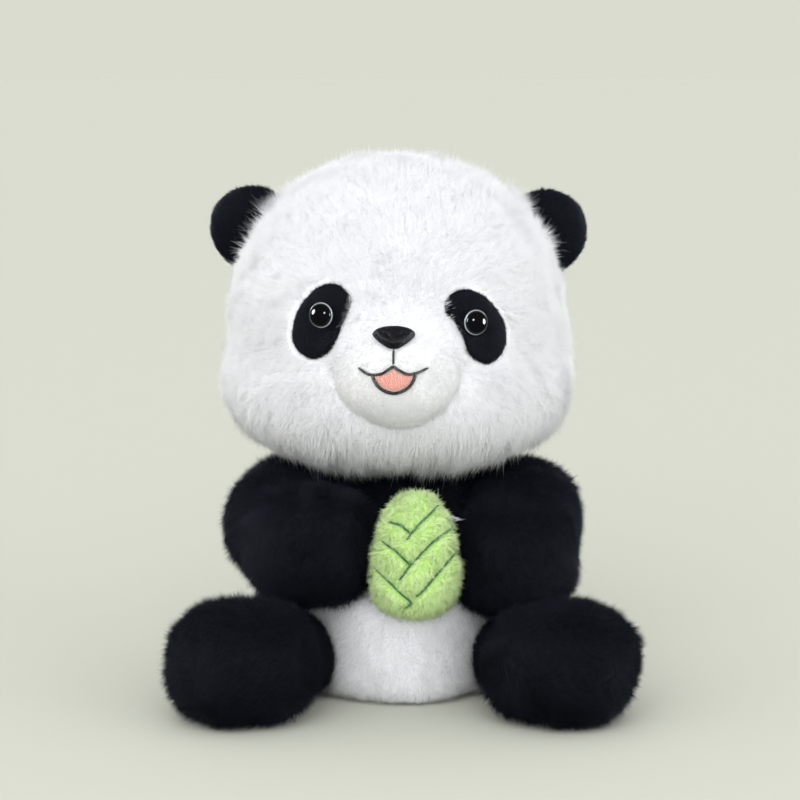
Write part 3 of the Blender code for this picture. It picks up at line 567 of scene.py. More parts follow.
def fur_material(name, root, tip, vary, noise_mm, rough, sheen, sheen_tint, strand=True, sub=0.0, specular=0.3):
    """Pile: colour runs from a darker root to the tip of each strand, the darker root being painted shade deep in the
    pile, with drifts over the cloth.
    """
    mat, nodes, links, shader = new_material(name)
    coord = nodes.new("ShaderNodeTexCoord")
    drift = nodes.new("ShaderNodeTexNoise")
    drift.inputs["Scale"].default_value = 1000.0 / noise_mm
    drift.inputs["Detail"].default_value = 3.0
    links.new(coord.outputs["Object"], drift.inputs["Vector"])
    ramp = nodes.new("ShaderNodeValToRGB")
    ramp.color_ramp.elements[0].color = (*root, 1)
    ramp.color_ramp.elements[1].color = (*tip, 1)
    ramp.color_ramp.elements[0].position = 0.0
    ramp.color_ramp.elements[1].position = 0.8
    if strand:
        uv = nodes.new("ShaderNodeUVMap")
        uv.uv_map = "strand"
        split = nodes.new("ShaderNodeSeparateXYZ")
        links.new(uv.outputs["UV"], split.inputs[0])
        links.new(split.outputs["Y"], ramp.inputs["Fac"])
        each = split.outputs["X"]
    else:
        fine = nodes.new("ShaderNodeTexNoise")
        fine.inputs["Scale"].default_value = 1600.0
        fine.inputs["Detail"].default_value = 2.0
        links.new(coord.outputs["Object"], fine.inputs["Vector"])
        links.new(fine.outputs["Fac"], ramp.inputs["Fac"])
        each = fine.outputs["Fac"]
    level = nodes.new("ShaderNodeMath")
    level.operation = "MULTIPLY_ADD"
    links.new(each, level.inputs[0])
    level.inputs[1].default_value = vary
    level.inputs[2].default_value = 1.0 - vary * 0.5
    level2 = nodes.new("ShaderNodeMath")
    level2.operation = "MULTIPLY_ADD"
    links.new(drift.outputs["Fac"], level2.inputs[0])
    level2.inputs[1].default_value = vary * 1.2
    level2.inputs[2].default_value = 1.0 - vary * 0.6
    both = nodes.new("ShaderNodeMath")
    both.operation = "MULTIPLY"
    links.new(level.outputs[0], both.inputs[0])
    links.new(level2.outputs[0], both.inputs[1])
    mix = nodes.new("ShaderNodeVectorMath")
    mix.operation = "SCALE"
    links.new(ramp.outputs["Color"], mix.inputs[0])
    links.new(both.outputs[0], mix.inputs["Scale"])
    links.new(mix.outputs[0], shader.inputs["Base Color"])
    shader.inputs["Roughness"].default_value = rough
    shader.inputs["Sheen Weight"].default_value = sheen
    shader.inputs["Sheen Roughness"].default_value = 0.5
    shader.inputs["Sheen Tint"].default_value = (*sheen_tint, 1)
    shader.inputs["Specular IOR Level"].default_value = specular
    if sub:
        shader.inputs["Subsurface Weight"].default_value = sub
        shader.inputs["Subsurface Radius"].default_value = (1.0, 1.0, 1.0)
        shader.inputs["Subsurface Scale"].default_value = 0.002
    if not strand:
        bump = nodes.new("ShaderNodeBump")
        bump.inputs["Strength"].default_value = 0.6
        bump.inputs["Distance"].default_value = 0.0004
        links.new(each, bump.inputs["Height"])
        links.new(bump.outputs[0], shader.inputs["Normal"])
    return mat


# Root colours are darker than tip colours in every strand material: painted shade deep in the pile.
WHITE_ROOT, WHITE_TIP = (0.93, 0.933, 0.962), (0.964, 0.966, 0.991)
BLACK_ROOT, BLACK_TIP = (0.0025, 0.0030, 0.0050), (0.0062, 0.0077, 0.0128)
LIME_ROOT, LIME_TIP = srgb(180, 214, 122), srgb(216, 241, 176)
white_fur = fur_material("white fur", WHITE_ROOT, WHITE_TIP, 0.06, 26.0, 0.8, 0.1, (1, 1, 1))
# The white backing is darker than the white fur on it: painted shade for the cloth seen between strands.
shaded_white_skin = fur_material("white backing", (0.66, 0.67, 0.70), (0.74, 0.75, 0.78), 0.06, 26.0, 0.9, 0.1, (1, 1, 1), strand=False)
black_fur = fur_material("black fur", BLACK_ROOT, BLACK_TIP, 0.5, 22.0, 0.7, 0.01, (0.5, 0.6, 0.9), specular=0.08)
black_skin = fur_material("black backing", (0.002, 0.0024, 0.004), (0.004, 0.0046, 0.0072), 0.4, 22.0, 0.8, 0.01, (0.5, 0.6, 0.9), strand=False, specular=0.05)
cream_fur = fur_material("muzzle pile", (0.785, 0.783, 0.80), (0.88, 0.878, 0.90), 0.05, 18.0, 0.85, 0.15, (1, 1, 1))
cream_skin = fur_material("muzzle backing", (0.72, 0.72, 0.725), (0.80, 0.80, 0.805), 0.05, 18.0, 0.9, 0.15, (1, 1, 1), strand=False)
lime_fur = fur_material("lime pile", LIME_ROOT, LIME_TIP, 0.16, 12.0, 0.8, 0.15, (0.9, 1.0, 0.7))
lime_skin = fur_material("lime backing", srgb(150, 195, 95), srgb(185, 222, 130), 0.12, 12.0, 0.9, 0.1, (0.9, 1.0, 0.7), strand=False)


def plastic(name, colour, rough, grain_mm, grain, coat=0.0, rough_spread=0.05):
    mat, nodes, links, shader = new_material(name)
    coord = nodes.new("ShaderNodeTexCoord")
    noise = nodes.new("ShaderNodeTexNoise")
    noise.inputs["Scale"].default_value = 1000.0 / grain_mm
    noise.inputs["Detail"].default_value = 4.0
    links.new(coord.outputs["Object"], noise.inputs["Vector"])
    ramp = nodes.new("ShaderNodeValToRGB")
    ramp.color_ramp.elements[0].color = (*[c * 0.8 for c in colour], 1)
    ramp.color_ramp.elements[1].color = (*[c * 1.15 for c in colour], 1)
    links.new(noise.outputs["Fac"], ramp.inputs["Fac"])
    links.new(ramp.outputs["Color"], shader.inputs["Base Color"])
    spread = nodes.new("ShaderNodeMapRange")
    spread.inputs["To Min"].default_value = max(rough - rough_spread, 0.02)
    spread.inputs["To Max"].default_value = rough + rough_spread
    links.new(noise.outputs["Fac"], spread.inputs["Value"])
    links.new(spread.outputs[0], shader.inputs["Roughness"])
    bump = nodes.new("ShaderNodeBump")
    bump.inputs["Strength"].default_value = grain
    bump.inputs["Distance"].default_value = 0.0003
    links.new(noise.outputs["Fac"], bump.inputs["Height"])
    links.new(bump.outputs[0], shader.inputs["Normal"])
    shader.inputs["Coat Weight"].default_value = coat
    shader.inputs["Coat Roughness"].default_value = 0.03
    return mat


def thread_material(name, colour, rough=0.55, sheen=0.2):
    mat, nodes, links, shader = new_material(name)
    coord = nodes.new("ShaderNodeTexCoord")
    noise = nodes.new("ShaderNodeTexNoise")
    noise.inputs["Scale"].default_value = 2500.0
    noise.inputs["Detail"].default_value = 3.0
    links.new(coord.outputs["Object"], noise.inputs["Vector"])
    ramp = nodes.new("ShaderNodeValToRGB")
    ramp.color_ramp.elements[0].color = (*[c * 0.72 for c in colour], 1)
    ramp.color_ramp.elements[1].color = (*[min(c * 1.18, 1) for c in colour], 1)
    ramp.color_ramp.elements[0].position, ramp.color_ramp.elements[1].position = 0.3, 0.7
    links.new(noise.outputs["Fac"], ramp.inputs["Fac"])
    links.new(ramp.outputs["Color"], shader.inputs["Base Color"])
    bump = nodes.new("ShaderNodeBump")
    bump.inputs["Strength"].default_value = 0.5
    bump.inputs["Distance"].default_value = 0.0002
    links.new(noise.outputs["Fac"], bump.inputs["Height"])
    links.new(bump.outputs[0], shader.inputs["Normal"])
    shader.inputs["Roughness"].default_value = rough
    shader.inputs["Sheen Weight"].default_value = sheen
    return mat


eye_gloss = plastic("eye plastic", (0.003, 0.003, 0.004), 0.05, 3.0, 0.0, coat=0.0, rough_spread=0.01)
eye_gloss.node_tree.nodes["Principled BSDF"].inputs["Specular IOR Level"].default_value = 0.16
nose_grain = plastic("nose plastic", (0.006, 0.006, 0.0075), 0.42, 0.5, 1.0, rough_spread=0.12)
nose_grain.node_tree.nodes["Principled BSDF"].inputs["Specular IOR Level"].default_value = 0.08
washer_white = plastic("washer plastic", (0.72, 0.72, 0.70), 0.4, 1.0, 0.2)
black_thread = thread_material("black thread", (0.006, 0.006, 0.0075))
green_thread = thread_material("green thread", srgb(40, 98, 50))
coral_thread = thread_material("coral thread", srgb(224, 158, 144), 0.5, 0.3)
white_thread = thread_material("white thread", (0.55, 0.57, 0.60))
fibre = thread_material("stuffing fibre", (0.84, 0.84, 0.84), 0.95, 0.3)
pellet_cloth = thread_material("pellet bag cloth", (0.62, 0.60, 0.55), 0.9, 0.1)


# ------------------------------------------------------------------ skins
def fillet(field, bump, blend):
    """field joined to bump, with a fillet as wide as blend(points)."""

    def out(p):
        a, b, k = field(p), bump(p), blend(p)
        h = np.clip(0.5 + 0.5 * (b - a) / k, 0, 1)
        return b * (1 - h) + a * h - k * h * (1 - h)

    return out


def soften(field, seed, size, depth):
    """field with slow lumps, as stuffing gives."""
    lumps = wave_noise(seed, size, 12)
    return lambda p: field(p) + lumps(p)[:, 0] * depth


def padded_skin(name, v, f, body, material, replaces, fill=0.7, slot=None):
    v = np.array(v, float)
    v[:, 2] = np.maximum(v[:, 2], ORIGIN[2] + 0.05)
    obj = mesh_object(name, v, f)
    obj.data.materials.append(material)
    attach(obj, body)
    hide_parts(*replaces)
    return obj


eye_spot = {}
for side, (x, z) in EYE_AT.items():
    y = front(head_plain, 0.0, x, z)[0]
    eye_spot[side] = np.array((x, y, z))
head_field = soften(
    dented(
        fillet(
            head_plain, lambda p: muzzle_plain(p) + 0.9,
            lambda p: 1.0 + 9.0 * np.clip((p[:, 2] - 136.0) / 16.0, 0, 1),
        ),
        [(eye_spot["left"], 1.0, 9.0), (eye_spot["right"], 1.0, 9.0)]
        + [((HEAD_X + m * 72.0, -12.0, 141.0), -2.6, 17.0) for m in (-1.0, 1.0)],
    ),
    5, 60.0, 0.5,
)
arm_field = {s: soften(arm_plain[s], 11 + i, 34.0, 0.6) for i, s in enumerate(("left", "right"))}
leg_field = {s: soften(leg_plain[s], 21 + i, 36.0, 0.6) for i, s in enumerate(("left", "right"))}
lap_full = join((body_round, oval((-1.0, -15.0, 24.5), (46.0, 50.5, 23.5), power=6.5)), 5.0)
body_soft = soften(lap_full, 31, 40.0, 0.6)


def body_field(p):
    return np.maximum(body_soft(p), SEAT_Z - p[:, 2])



muzzle_field = soften(dented(muzzle_plain, [((MUZZLE[0][0], -70.0, 119.0), -1.6, 9.0)]), 41, 24.0, 0.25)

N = 1.0
head_skin = star(HEAD_CORE, head_field, int(44 * N))
body_cut = body_field
for s in SHOULDER:
    body_cut = carve(body_cut, arm_plain[s], 0.8)
    body_cut = carve(body_cut, leg_plain[s], 0.8)
body_skin = star(BODY_CORE, body_cut, int(40 * N))
arm_skin = {s: star(ARM_CORE[s], carve(arm_field[s], shoot_plain, 0.6), int(28 * N)) for s in SHOULDER}
leg_skin = {s: star(LEG_CORE[s], leg_field[s], int(28 * N)) for s in HIP}

padded_skin("head_cloth", *head_skin, "head", shaded_white_skin, ("head_shell", "head_stuffing"), 0.85, "white_fur")


def split_skin(skin, keep):
    v, f = skin
    ok = keep(v[f].mean(1))
    f = f[ok]
    used, back = np.unique(f, return_inverse=True)
    return v[used], back.reshape(-1, 3)


upper = split_skin(body_skin, lambda p: p[:, 2] > WAIST_Z)
lower = split_skin(body_skin, lambda p: p[:, 2] <= WAIST_Z)
padded_skin("torso_cloth", *upper, "torso", black_skin, ("torso_shell", "body_stuffing"), 0.75, "black_fur")
padded_skin("belly_cloth", *lower, "torso", shaded_white_skin, ("belly_shell", "pellet_bag"), 0.75, "white_fur")
for s in SHOULDER:
    padded_skin(f"arm_{s}_cloth", *arm_skin[s], f"arm_{s}_body", black_skin, (f"arm_{s}", f"arm_stuffing_{s}"), 0.75, "black_fur")
    padded_skin(f"leg_{s}_cloth", *leg_skin[s], f"leg_{s}_body", black_skin, (f"leg_{s}", f"leg_stuffing_{s}"), 0.75, "black_fur")

# ears
ear_skin = {}
for s in EAR:
    field = carve(soften(ear_plain(s), 51, 20.0, 0.2), head_plain, 2.0, 1.5)
    core = np.array(EAR[s]) + ear_frame(s)[:, 2] * 4.0
    ear_skin[s] = star(core, field, int(22 * N), start=3.0)
    padded_skin(f"ear_{s}_cloth", *ear_skin[s], f"ear_{s}_body", black_skin, (f"ear_{s}", f"ear_stuffing_{s}"), 0.5, "black_fur")

# neck: the cloth that joins the head and the body, seen only between their furs
ring = []
for r_, z in ((14.5, 84.0), (15.5, 90.0), (16.2, 96.0), (16.6, 102.0), (16.8, 108.0), (16.4, 116.0), (13.0, 123.0), (6.0, 127.5)):
    ring.append([(NECK[0] + r_ * math.cos(a), NECK[1] + r_ * math.sin(a), z) for a in np.linspace(0, 2 * math.pi, 40, endpoint=False)])
nv = np.array(ring).reshape(-1, 3)
nf = []
for i in range(len(ring) - 1):
    for k in range(40):
        j = (k + 1) % 40
        nf += [(i * 40 + k, i * 40 + j, (i + 1) * 40 + j), (i * 40 + k, (i + 1) * 40 + j, (i + 1) * 40 + k)]
neck_skin = (nv, np.array(nf))
padded_skin("neck_cloth", *neck_skin, "neck", black_skin, ("neck_stuffing",), 0.8, "black_fur")

# muzzle
muzzle_skin = star(MUZZLE[0], muzzle_field, int(26 * N), start=3.0)
padded_skin("muzzle_cloth", *muzzle_skin, "head", cream_skin, ("muzzle_panel", "muzzle_stuffing"), 0.8, "cream_pile")

# shoot: pinched in along its stitched lines
SHOOT_RUNS = {
    "top": (
        ((15.3, 88.4), (10.4, 84.8), (6.2, 81.2), (2.6, 76.9), (1.3, 74.8)),
        ((-5.8, 81.2), (-1.6, 80.8), (0.6, 79.1), (2.2, 77.9)),
    ),
    "middle": (
        ((20.6, 78.6), (15.4, 76.2), (10.4, 72.6), (4.8, 66.9), (0.6, 61.8), (-2.3, 58.2)),
        ((-8.7, 73.3), (-3.8, 70.5), (0.6, 66.4), (2.4, 64.6)),
    ),
    "low": (
        ((20.6, 67.6), (16.8, 64.0), (11.9, 58.9), (7.6, 53.9), (4.8, 51.4)),
        ((-11.9, 61.8), (-6.5, 57.5), (-0.9, 52.4), (2.7, 48.8), (0.6, 46.2)),
    ),
}
stitch_lines = {(k, i): smooth_path(l, 6) for k, runs in SHOOT_RUNS.items() for i, l in enumerate(runs)}


def shoot_pinched(p):
    d = shoot_plain(p)
    for line in stitch_lines.values():
        near = line_distance(line, p[:, 0], p[:, 2])
        front_ = 1 / (1 + np.exp((p[:, 1] - SHOOT_AT[1] + 4.0) / 1.5))
        d = d + front_ * (1.5 * np.exp(-(near**2) / (2 * 1.5**2)))
    return d


shoot_field = soften(shoot_pinched, 61, 18.0, 0.3)
shoot_skin = star(SHOOT_AT, shoot_field, int(36 * N), start=3.0)
padded_skin("shoot_cloth", *shoot_skin, "arm_left_body", lime_skin, ("shoot_shell", "shoot_stuffing"), 0.8, "lime_pile")


# ------------------------------------------------------------------ face
def pad_mesh(field, outline, low, high, rings=7, per=5, rim=0.5):
    """A pad between two levels over field's front: (points, triangles)."""
    line = smooth_path(outline, per, closed=True)
    middle = line.mean(0)
    n = len(line)
    spread = np.sin(np.linspace(0, math.pi / 2, rings + 1))[1:]
    v, f, layers = [], [], []
    for top in (True, False):
        layer = []
        for s_ in (0.0, *spread):
            where = middle[None] if s_ == 0 else middle + (line - middle) * s_
            near = 1.0 - (1 - rim) * max(0.0, (s_ - 0.8) / 0.2) ** 2
            level = low + (high - low) * near if top else low
            y = front(field, level, where[:, 0], where[:, 1])
            start = len(v)
            v += [(x, yy, z) for (x, z), yy in zip(where, y)]
            layer.append(list(range(start, len(v))))
        layers.append(layer)
    for layer, flip in zip(layers, (False, True)):
        for a_, b_ in zip(layer, layer[1:]):
            for k in range(n):
                m = (k + 1) % n
                quad = [(a_[0], b_[k], b_[m])] if len(a_) == 1 else [(a_[k], b_[k], b_[m]), (a_[k], b_[m], a_[m])]
                f += [tuple(reversed(q)) for q in quad] if flip else quad
    top, bottom = layers[0][-1], layers[1][-1]
    for k in range(n):
        m = (k + 1) % n
        f += [(top[m], top[k], bottom[k]), (top[m], bottom[k], bottom[m])]
    v, f = np.array(v), np.array(f)
    volume = np.einsum("ij,ij->i", v[f[:, 0]], np.cross(v[f[:, 1]], v[f[:, 2]])).sum()
    if volume < 0:
        f = f[:, ::-1]
    return v, f


patch_line = {s: smooth_path(PATCH[s], 5, closed=True) for s in PATCH}
patch_skin = {}
for s in PATCH:
    patch_skin[s] = pad_mesh(head_field, PATCH[s], 0.1, 2.0)
    padded_skin(f"eye_patch_{s}_cloth", *patch_skin[s], "head", black_skin, (f"eye_patch_{s}",), 0.4, "black_fur")


def lathe(profile, base, way, sides):
    """(points, triangles) of (radius, height) pairs turned about way; radius 0 closes an end."""
    d = np.array(way, float) / np.linalg.norm(way)
    x = np.cross(d, (0.0, 0.0, 1.0) if abs(d[2]) < 0.9 else (1.0, 0.0, 0.0))
    x /= np.linalg.norm(x)
    y = np.cross(d, x)
    v, f, rings = [], [], []
    for r_, h in profile:
        ids = []
        for k in range(1 if r_ == 0 else sides):
            a_ = 2 * math.pi * k / sides
            ids.append(len(v))
            v.append(np.array(base) + d * h + r_ * (x * math.cos(a_) + y * math.sin(a_)))
        rings.append(ids)
    for a_, b_ in zip(rings, rings[1:]):
        for k in range(sides):
            m = (k + 1) % sides
            if len(a_) == 1:
                f.append((a_[0], b_[k], b_[m]))
            elif len(b_) == 1:
                f.append((a_[k], b_[0], a_[m]))
            else:
                f += [(a_[k], b_[k], b_[m]), (a_[k], b_[m], a_[m])]
    v, f = np.array(v), np.array(f)
    volume = np.einsum("ij,ij->i", v[f[:, 0]], np.cross(v[f[:, 1]], v[f[:, 2]])).sum()
    return v, f if volume > 0 else f[:, ::-1]


eye_line = {}
# Pale grey for the dome's rim flange: partly a printed ring, partly a painted reflection of the bright surroundings at
# the grazing edge.
rim_ring_and_reflection = plastic("eye rim plastic", (0.34, 0.36, 0.38), 0.3, 2.0, 0.0, rough_spread=0.05)
for s, (x, z) in EYE_AT.items():
    level = 0.5 + 1.8 + 0.35
    y = front(head_plain, level, x, z)[0]
    way = slope(head_plain, (x, y, z))[0]
    eye_line[s] = (np.array((x, y, z)), way)
    base = np.array((x, y, z))
    dome = [(0.0, -11.0), (1.5, -11.0), (1.5, -0.2), (EYE_R * 0.9, -0.2), (EYE_R * 0.985, 0.0), (EYE_R, 0.3), (EYE_R * 0.985, 0.65), (EYE_R * 0.955, 0.8), (EYE_R * 0.93, 0.78)]
    for k in range(1, 15):
        a_ = math.pi / 2 * k / 15
        dome.append((EYE_R * 0.93 * math.cos(a_), 0.78 + 3.05 * math.sin(a_)))
    dome.append((0.0, 0.78 + 3.05))
    v, f = lathe(dome, base, way, 64)
    obj = mesh_object(f"eye_{s}_dome", v, f)
    obj.data.materials.append(eye_gloss)
    obj.data.materials.append(rim_ring_and_reflection)
    mid = v[f].mean(1) - base
    out_ = np.linalg.norm(mid - (mid @ way)[:, None] * way, axis=1)
    high = mid @ way
    # faces of the rim flange, which take the grey of the printed ring and painted reflection
    rim = (out_ > EYE_R * 0.93) & (high > 0.2)
    obj.data.polygons.foreach_set("material_index", rim.astype(np.int32))
    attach(obj, "head")
    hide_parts(f"eye_{s}")

# nose: a soft-cornered triangle with two nostril slits
nose_y = front(muzzle_plain, 0.5, NOSE_AT[0], NOSE_AT[1])[0]
nose_way = slope(muzzle_plain, (NOSE_AT[0], nose_y, NOSE_AT[1]))[0]
nose_way = nose_way * np.array((0.0, 1.0, 0.6))
nose_way /= np.linalg.norm(nose_way)
nose_up = np.array((0.0, nose_way[2], -nose_way[1]))
nose_up = nose_up if nose_up[2] > 0 else -nose_up
nose_base = np.array((NOSE_AT[0], nose_y, NOSE_AT[1])) + nose_way * 0.9
NOSE_OUTLINE = (
    (-8.7, -0.2), (-7.4, 1.7), (-4.0, 2.8), (0.0, 3.1), (4.0, 2.8), (7.4, 1.7),
    (8.7, -0.2), (7.4, -2.4), (4.7, -4.9), (1.7, -6.8), (-1.7, -6.8), (-4.7, -4.9),
    (-7.4, -2.4),
)
line = smooth_path(NOSE_OUTLINE, 6, closed=True)
across = np.array((1.0, 0.0, 0.0))
v, f, rings = [], [], []
steps = [(0.86, -0.2), (0.97, 0.1), (1.0, 0.7), (0.985, 1.3), (0.94, 1.95), (0.86, 2.5)] + [
    (math.cos(a_) * 0.86, 2.5 + 1.3 * math.sin(a_)) for a_ in np.linspace(0.15, math.pi / 2, 12)[:-1]
]
for scale, rise in steps:
    ids = []
    for x, z in line:
        px, pz = x * scale, z * scale
        dip = 0.0
        if scale < 0.95:
            for m_ in (-1, 1):
                # slits low on each side
                q = np.array((px - m_ * 3.4, pz + 1.5))
                c_, s_ = math.cos(0.55 * m_), math.sin(0.55 * m_)
                a1, a2 = q[0] * c_ + q[1] * s_, -q[0] * s_ + q[1] * c_
                dip += 1.0 * math.exp(-((a1 / 1.7) ** 2) - (a2 / 0.55) ** 2)
        ids.append(len(v))
        v.append(nose_base + across * px + nose_up * pz + nose_way * (rise - dip))
    rings.append(ids)
tip = len(v)
v.append(nose_base + nose_way * 3.8)
n_ = len(line)
for a_, b_ in zip(rings, rings[1:]):
    for k in range(n_):
        m = (k + 1) % n_
        f += [(a_[k], b_[k], b_[m]), (a_[k], b_[m], a_[m])]
for k in range(n_):
    f.append((rings[-1][k], tip, rings[-1][(k + 1) % n_]))
back_ = len(v)
v.append(nose_base - nose_way * 0.2)
for k in range(n_):
    f.append((back_, rings[0][k], rings[0][(k + 1) % n_]))
v, f = np.array(v), np.array(f)
if np.einsum("ij,ij->i", v[f[:, 0]], np.cross(v[f[:, 1]], v[f[:, 2]])).sum() < 0:
    f = f[:, ::-1]
nose = mesh_object("nose_cap", v, f)
nose.data.materials.append(nose_grain)
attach(nose, "head")
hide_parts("nose")


def capsule_chain(segments_, radius, sides=8, squash_=0.75):
    """Many short stitches: each (start, end, up) becomes a flattened closed capsule."""
    v, f = [], []
    for a_, b_, up_ in segments_:
        d = b_ - a_
        length_ = np.linalg.norm(d)
        if length_ < 1e-6:
            continue
        d = d / length_
        x = np.cross(d, up_)
        x /= np.linalg.norm(x)
        y = np.cross(x, d)
        base = len(v)
        prof = [(0.0, -0.05), (0.62, 0.03), (0.92, 0.14), (1.0, 0.32), (1.0, 0.68), (0.92, 0.86), (0.62, 0.97), (0.0, 1.05)]
        ids = []
        for r_, h in prof:
            row = []
            for k in range(1 if r_ == 0 else sides):
                an = 2 * math.pi * k / sides
                row.append(len(v))
                lift_ = radius * 0.9 * math.sin(math.pi * min(max(h, 0), 1))
                v.append(a_ + d * length_ * h + radius * r_ * (x * math.cos(an) + y * squash_ * math.sin(an)) + up_ * lift_)
            ids.append(row)
        for p_, q_ in zip(ids, ids[1:]):
            for k in range(sides):
                m = (k + 1) % sides
                if len(p_) == 1:
                    f.append((p_[0], q_[m], q_[k]))
                elif len(q_) == 1:
                    f.append((p_[k], p_[m], q_[0]))
                else:
                    f += [(p_[k], p_[m], q_[m]), (p_[k], q_[m], q_[k])]
    return np.array(v), np.array(f)


def satin_line(name, path, field, level, half, body, node, material, pitch=0.42, slant=0.5, radius=0.24):
    """A line of close slanted stitches along path, lying on field's front."""
    flat = smooth_path(path, 14)
    d = np.diff(flat, axis=0)
    run = np.concatenate(([0], np.cumsum(np.linalg.norm(d, axis=1))))
    spots = np.arange(0, run[-1], pitch)
    x, z = np.interp(spots, run, flat[:, 0]), np.interp(spots, run, flat[:, 1])
    tx, tz = np.gradient(x), np.gradient(z)
    norm = np.hypot(tx, tz)
    tx, tz = tx / norm, tz / norm
    r = np.random.RandomState(7)
    wide = half * (0.94 + 0.12 * r.uniform(size=len(x)))
    ends = np.minimum(spots, run[-1] - spots)
    wide *= np.clip(0.45 + ends / 1.2, 0, 1)
    ax, az = x - tz * wide - tx * slant * half, z + tx * wide - tz * slant * half
    bx, bz = x + tz * wide + tx * slant * half, z - tx * wide + tz * slant * half
    ya, yb = front(field, level, ax, az), front(field, level, bx, bz)
    ups = slope(field, np.stack((x, front(field, level, x, z), z), 1))
    segs = [
        (np.array((ax[i], ya[i], az[i])), np.array((bx[i], yb[i], bz[i])), ups[i]) for i in range(len(x))
    ]
    v, f = capsule_chain(segs, radius)
    obj = mesh_object(name, v, f)
    obj.data.materials.append(material)
    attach(obj, body)
    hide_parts(node)
    return obj


FACE_PILE = 1.5
satin_line("mouth_line", MOUTH_LINE, muzzle_field, FACE_PILE, 0.60, "head", "mouth_stitch", black_thread)
satin_line("lip_line", LIP_LINE, muzzle_field, FACE_PILE, 0.72, "head", "lip_stitch", black_thread)
satin_line("philtrum_line", PHILTRUM, muzzle_field, FACE_PILE, 0.50, "head", "philtrum_stitch", black_thread)

# mouth: rows of satin thread from side to side of the mouth
mouth_line_ = smooth_path(MOUTH_FILL, 5, closed=True)
segs = []
r = np.random.RandomState(9)
tilt = 0.28
for off in np.arange(-14, 14, 0.66):
    # threads run down and across at a slight slant
    ts = np.linspace(-14, 14, 400)
    cx, cz = -4.3, 141.0
    xs = cx + off * math.cos(tilt) + ts * math.sin(tilt)
    zs = cz - off * math.sin(tilt) + ts * math.cos(tilt)
    ok, _ = inside_outline(mouth_line_, xs, zs)
    if ok.sum() < 6:
        continue
    i0, i1 = np.flatnonzero(ok)[[0, -1]]
    jit = r.uniform(-0.12, 0.12, 2)
    pa = np.array((xs[i0], 0, zs[i0] - 0.15 + jit[0]))
    pb = np.array((xs[i1], 0, zs[i1] + 0.15 + jit[1]))
    k = max(1, int(np.linalg.norm(pb - pa) // 5))
    pts = [pa + (pb - pa) * t for t in np.linspace(0, 1, k + 1)]
    for a_, b_ in zip(pts, pts[1:]):
        ya, yb = front(muzzle_field, FACE_PILE - 0.5, [a_[0], b_[0]], [a_[2], b_[2]])
        a3, b3 = np.array((a_[0], ya, a_[2])), np.array((b_[0], yb, b_[2]))
        segs.append((a3, b3, slope(muzzle_field, (a3 + b3) / 2)[0]))
v, f = capsule_chain(segs, 0.30, 8, 0.9)
mouth = mesh_object("mouth_satin", v, f)
mouth.data.materials.append(coral_thread)
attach(mouth, "head")
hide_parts("mouth_fill")

# stitched chevrons on the shoot: each a long run with a short one meeting it
for key, runs in SHOOT_RUNS.items():
    for i, run in enumerate(runs):
        satin_line(
            f"shoot_line_{key}_{i + 1}", run, shoot_field, 1.5, 0.40, "arm_left_body", f"shoot_stitch_{key}",
            green_thread, pitch=0.95, slant=1.6, radius=0.33,
        )

def tube(path, radius, sides=6):
    """A closed round thread along path."""
    p = np.array(path, float)
    d = unit(np.gradient(p, axis=0))
    x = unit(np.cross(d, (0.13, 0.31, 0.94)))
    y = np.cross(d, x)
    v, f = [], []
    for i in range(len(p)):
        share = i / (len(p) - 1)
        w = radius * (1 - 0.6 * abs(2 * share - 1) ** 3)
        for k in range(sides):
            a_ = 2 * math.pi * k / sides
            v.append(p[i] + w * (x[i] * math.cos(a_) + y[i] * math.sin(a_)))
    n = len(p)
    for i in range(n - 1):
        for k in range(sides):
            m = (k + 1) % sides
            f += [(i * sides + k, i * sides + m, (i + 1) * sides + m), (i * sides + k, (i + 1) * sides + m, (i + 1) * sides + k)]
    v += [p[0], p[-1]]
    for k in range(sides):
        m = (k + 1) % sides
        f += [(n * sides, m, k), (n * sides + 1, (n - 1) * sides + k, (n - 1) * sides + m)]
    v, f = np.array(v), np.array(f)
    volume = np.einsum("ij,ij->i", v[f[:, 0]], np.cross(v[f[:, 1]], v[f[:, 2]])).sum()
    return v, f if volume > 0 else f[:, ::-1]


# tack thread: the frayed end of a few white fibres between the shoot and the paw
r = np.random.RandomState(17)
vs, fs, base = [], [], 0
for i in range(7):
    t = np.linspace(0, 1, 9)
    start_, end_ = np.array((17.5, -71.5, 81.9)), np.array((24.6 + r.uniform(-2.5, 1.0), -69.5, 81.4))
    p_ = start_ + (end_ - start_) * t[:, None]
    p_ += r.normal(size=(1, 3)) * (0.2, 0.5, 0.55) * np.sin(math.pi * t)[:, None] * 1.6
    p_ += np.stack((0 * t, 0.25 * np.sin(7 * t + i), 0.3 * np.sin(9 * t + 2 * i)), 1)
    v, f = tube(p_, 0.08 + 0.04 * r.uniform())
    vs.append(v)
    fs.append(f + base)
    base += len(v)
tack = mesh_object("tack_fibres", np.concatenate(vs), np.concatenate(fs))
tack.data.materials.append(white_thread)
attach(tack, "arm_left_body")
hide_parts("shoot_tack_thread")

for node, mat in (
    ("eye_washer_left", washer_white), ("eye_washer_right", washer_white), ("nose_washer", washer_white),
):
    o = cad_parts[node]
    o.data.materials.clear()
    o.data.materials.append(mat)

# ------------------------------------------------------------------ furs
FACE = np.array((HEAD_X, -76.0, 149.0))


def step(x, a_, b_):
    t = np.clip((x - a_) / (b_ - a_), 0, 1)
    return t * t * (3 - 2 * t)


def face_share(p):
    """1 round the nose and the eyes, 0 away from them."""
    d = np.sqrt(((p[:, 0] - HEAD_X) / 1.2) ** 2 + (p[:, 2] - 156.0) ** 2)
    return (1 - step(d, 20.0, 52.0)) * (p[:, 1] < -20)


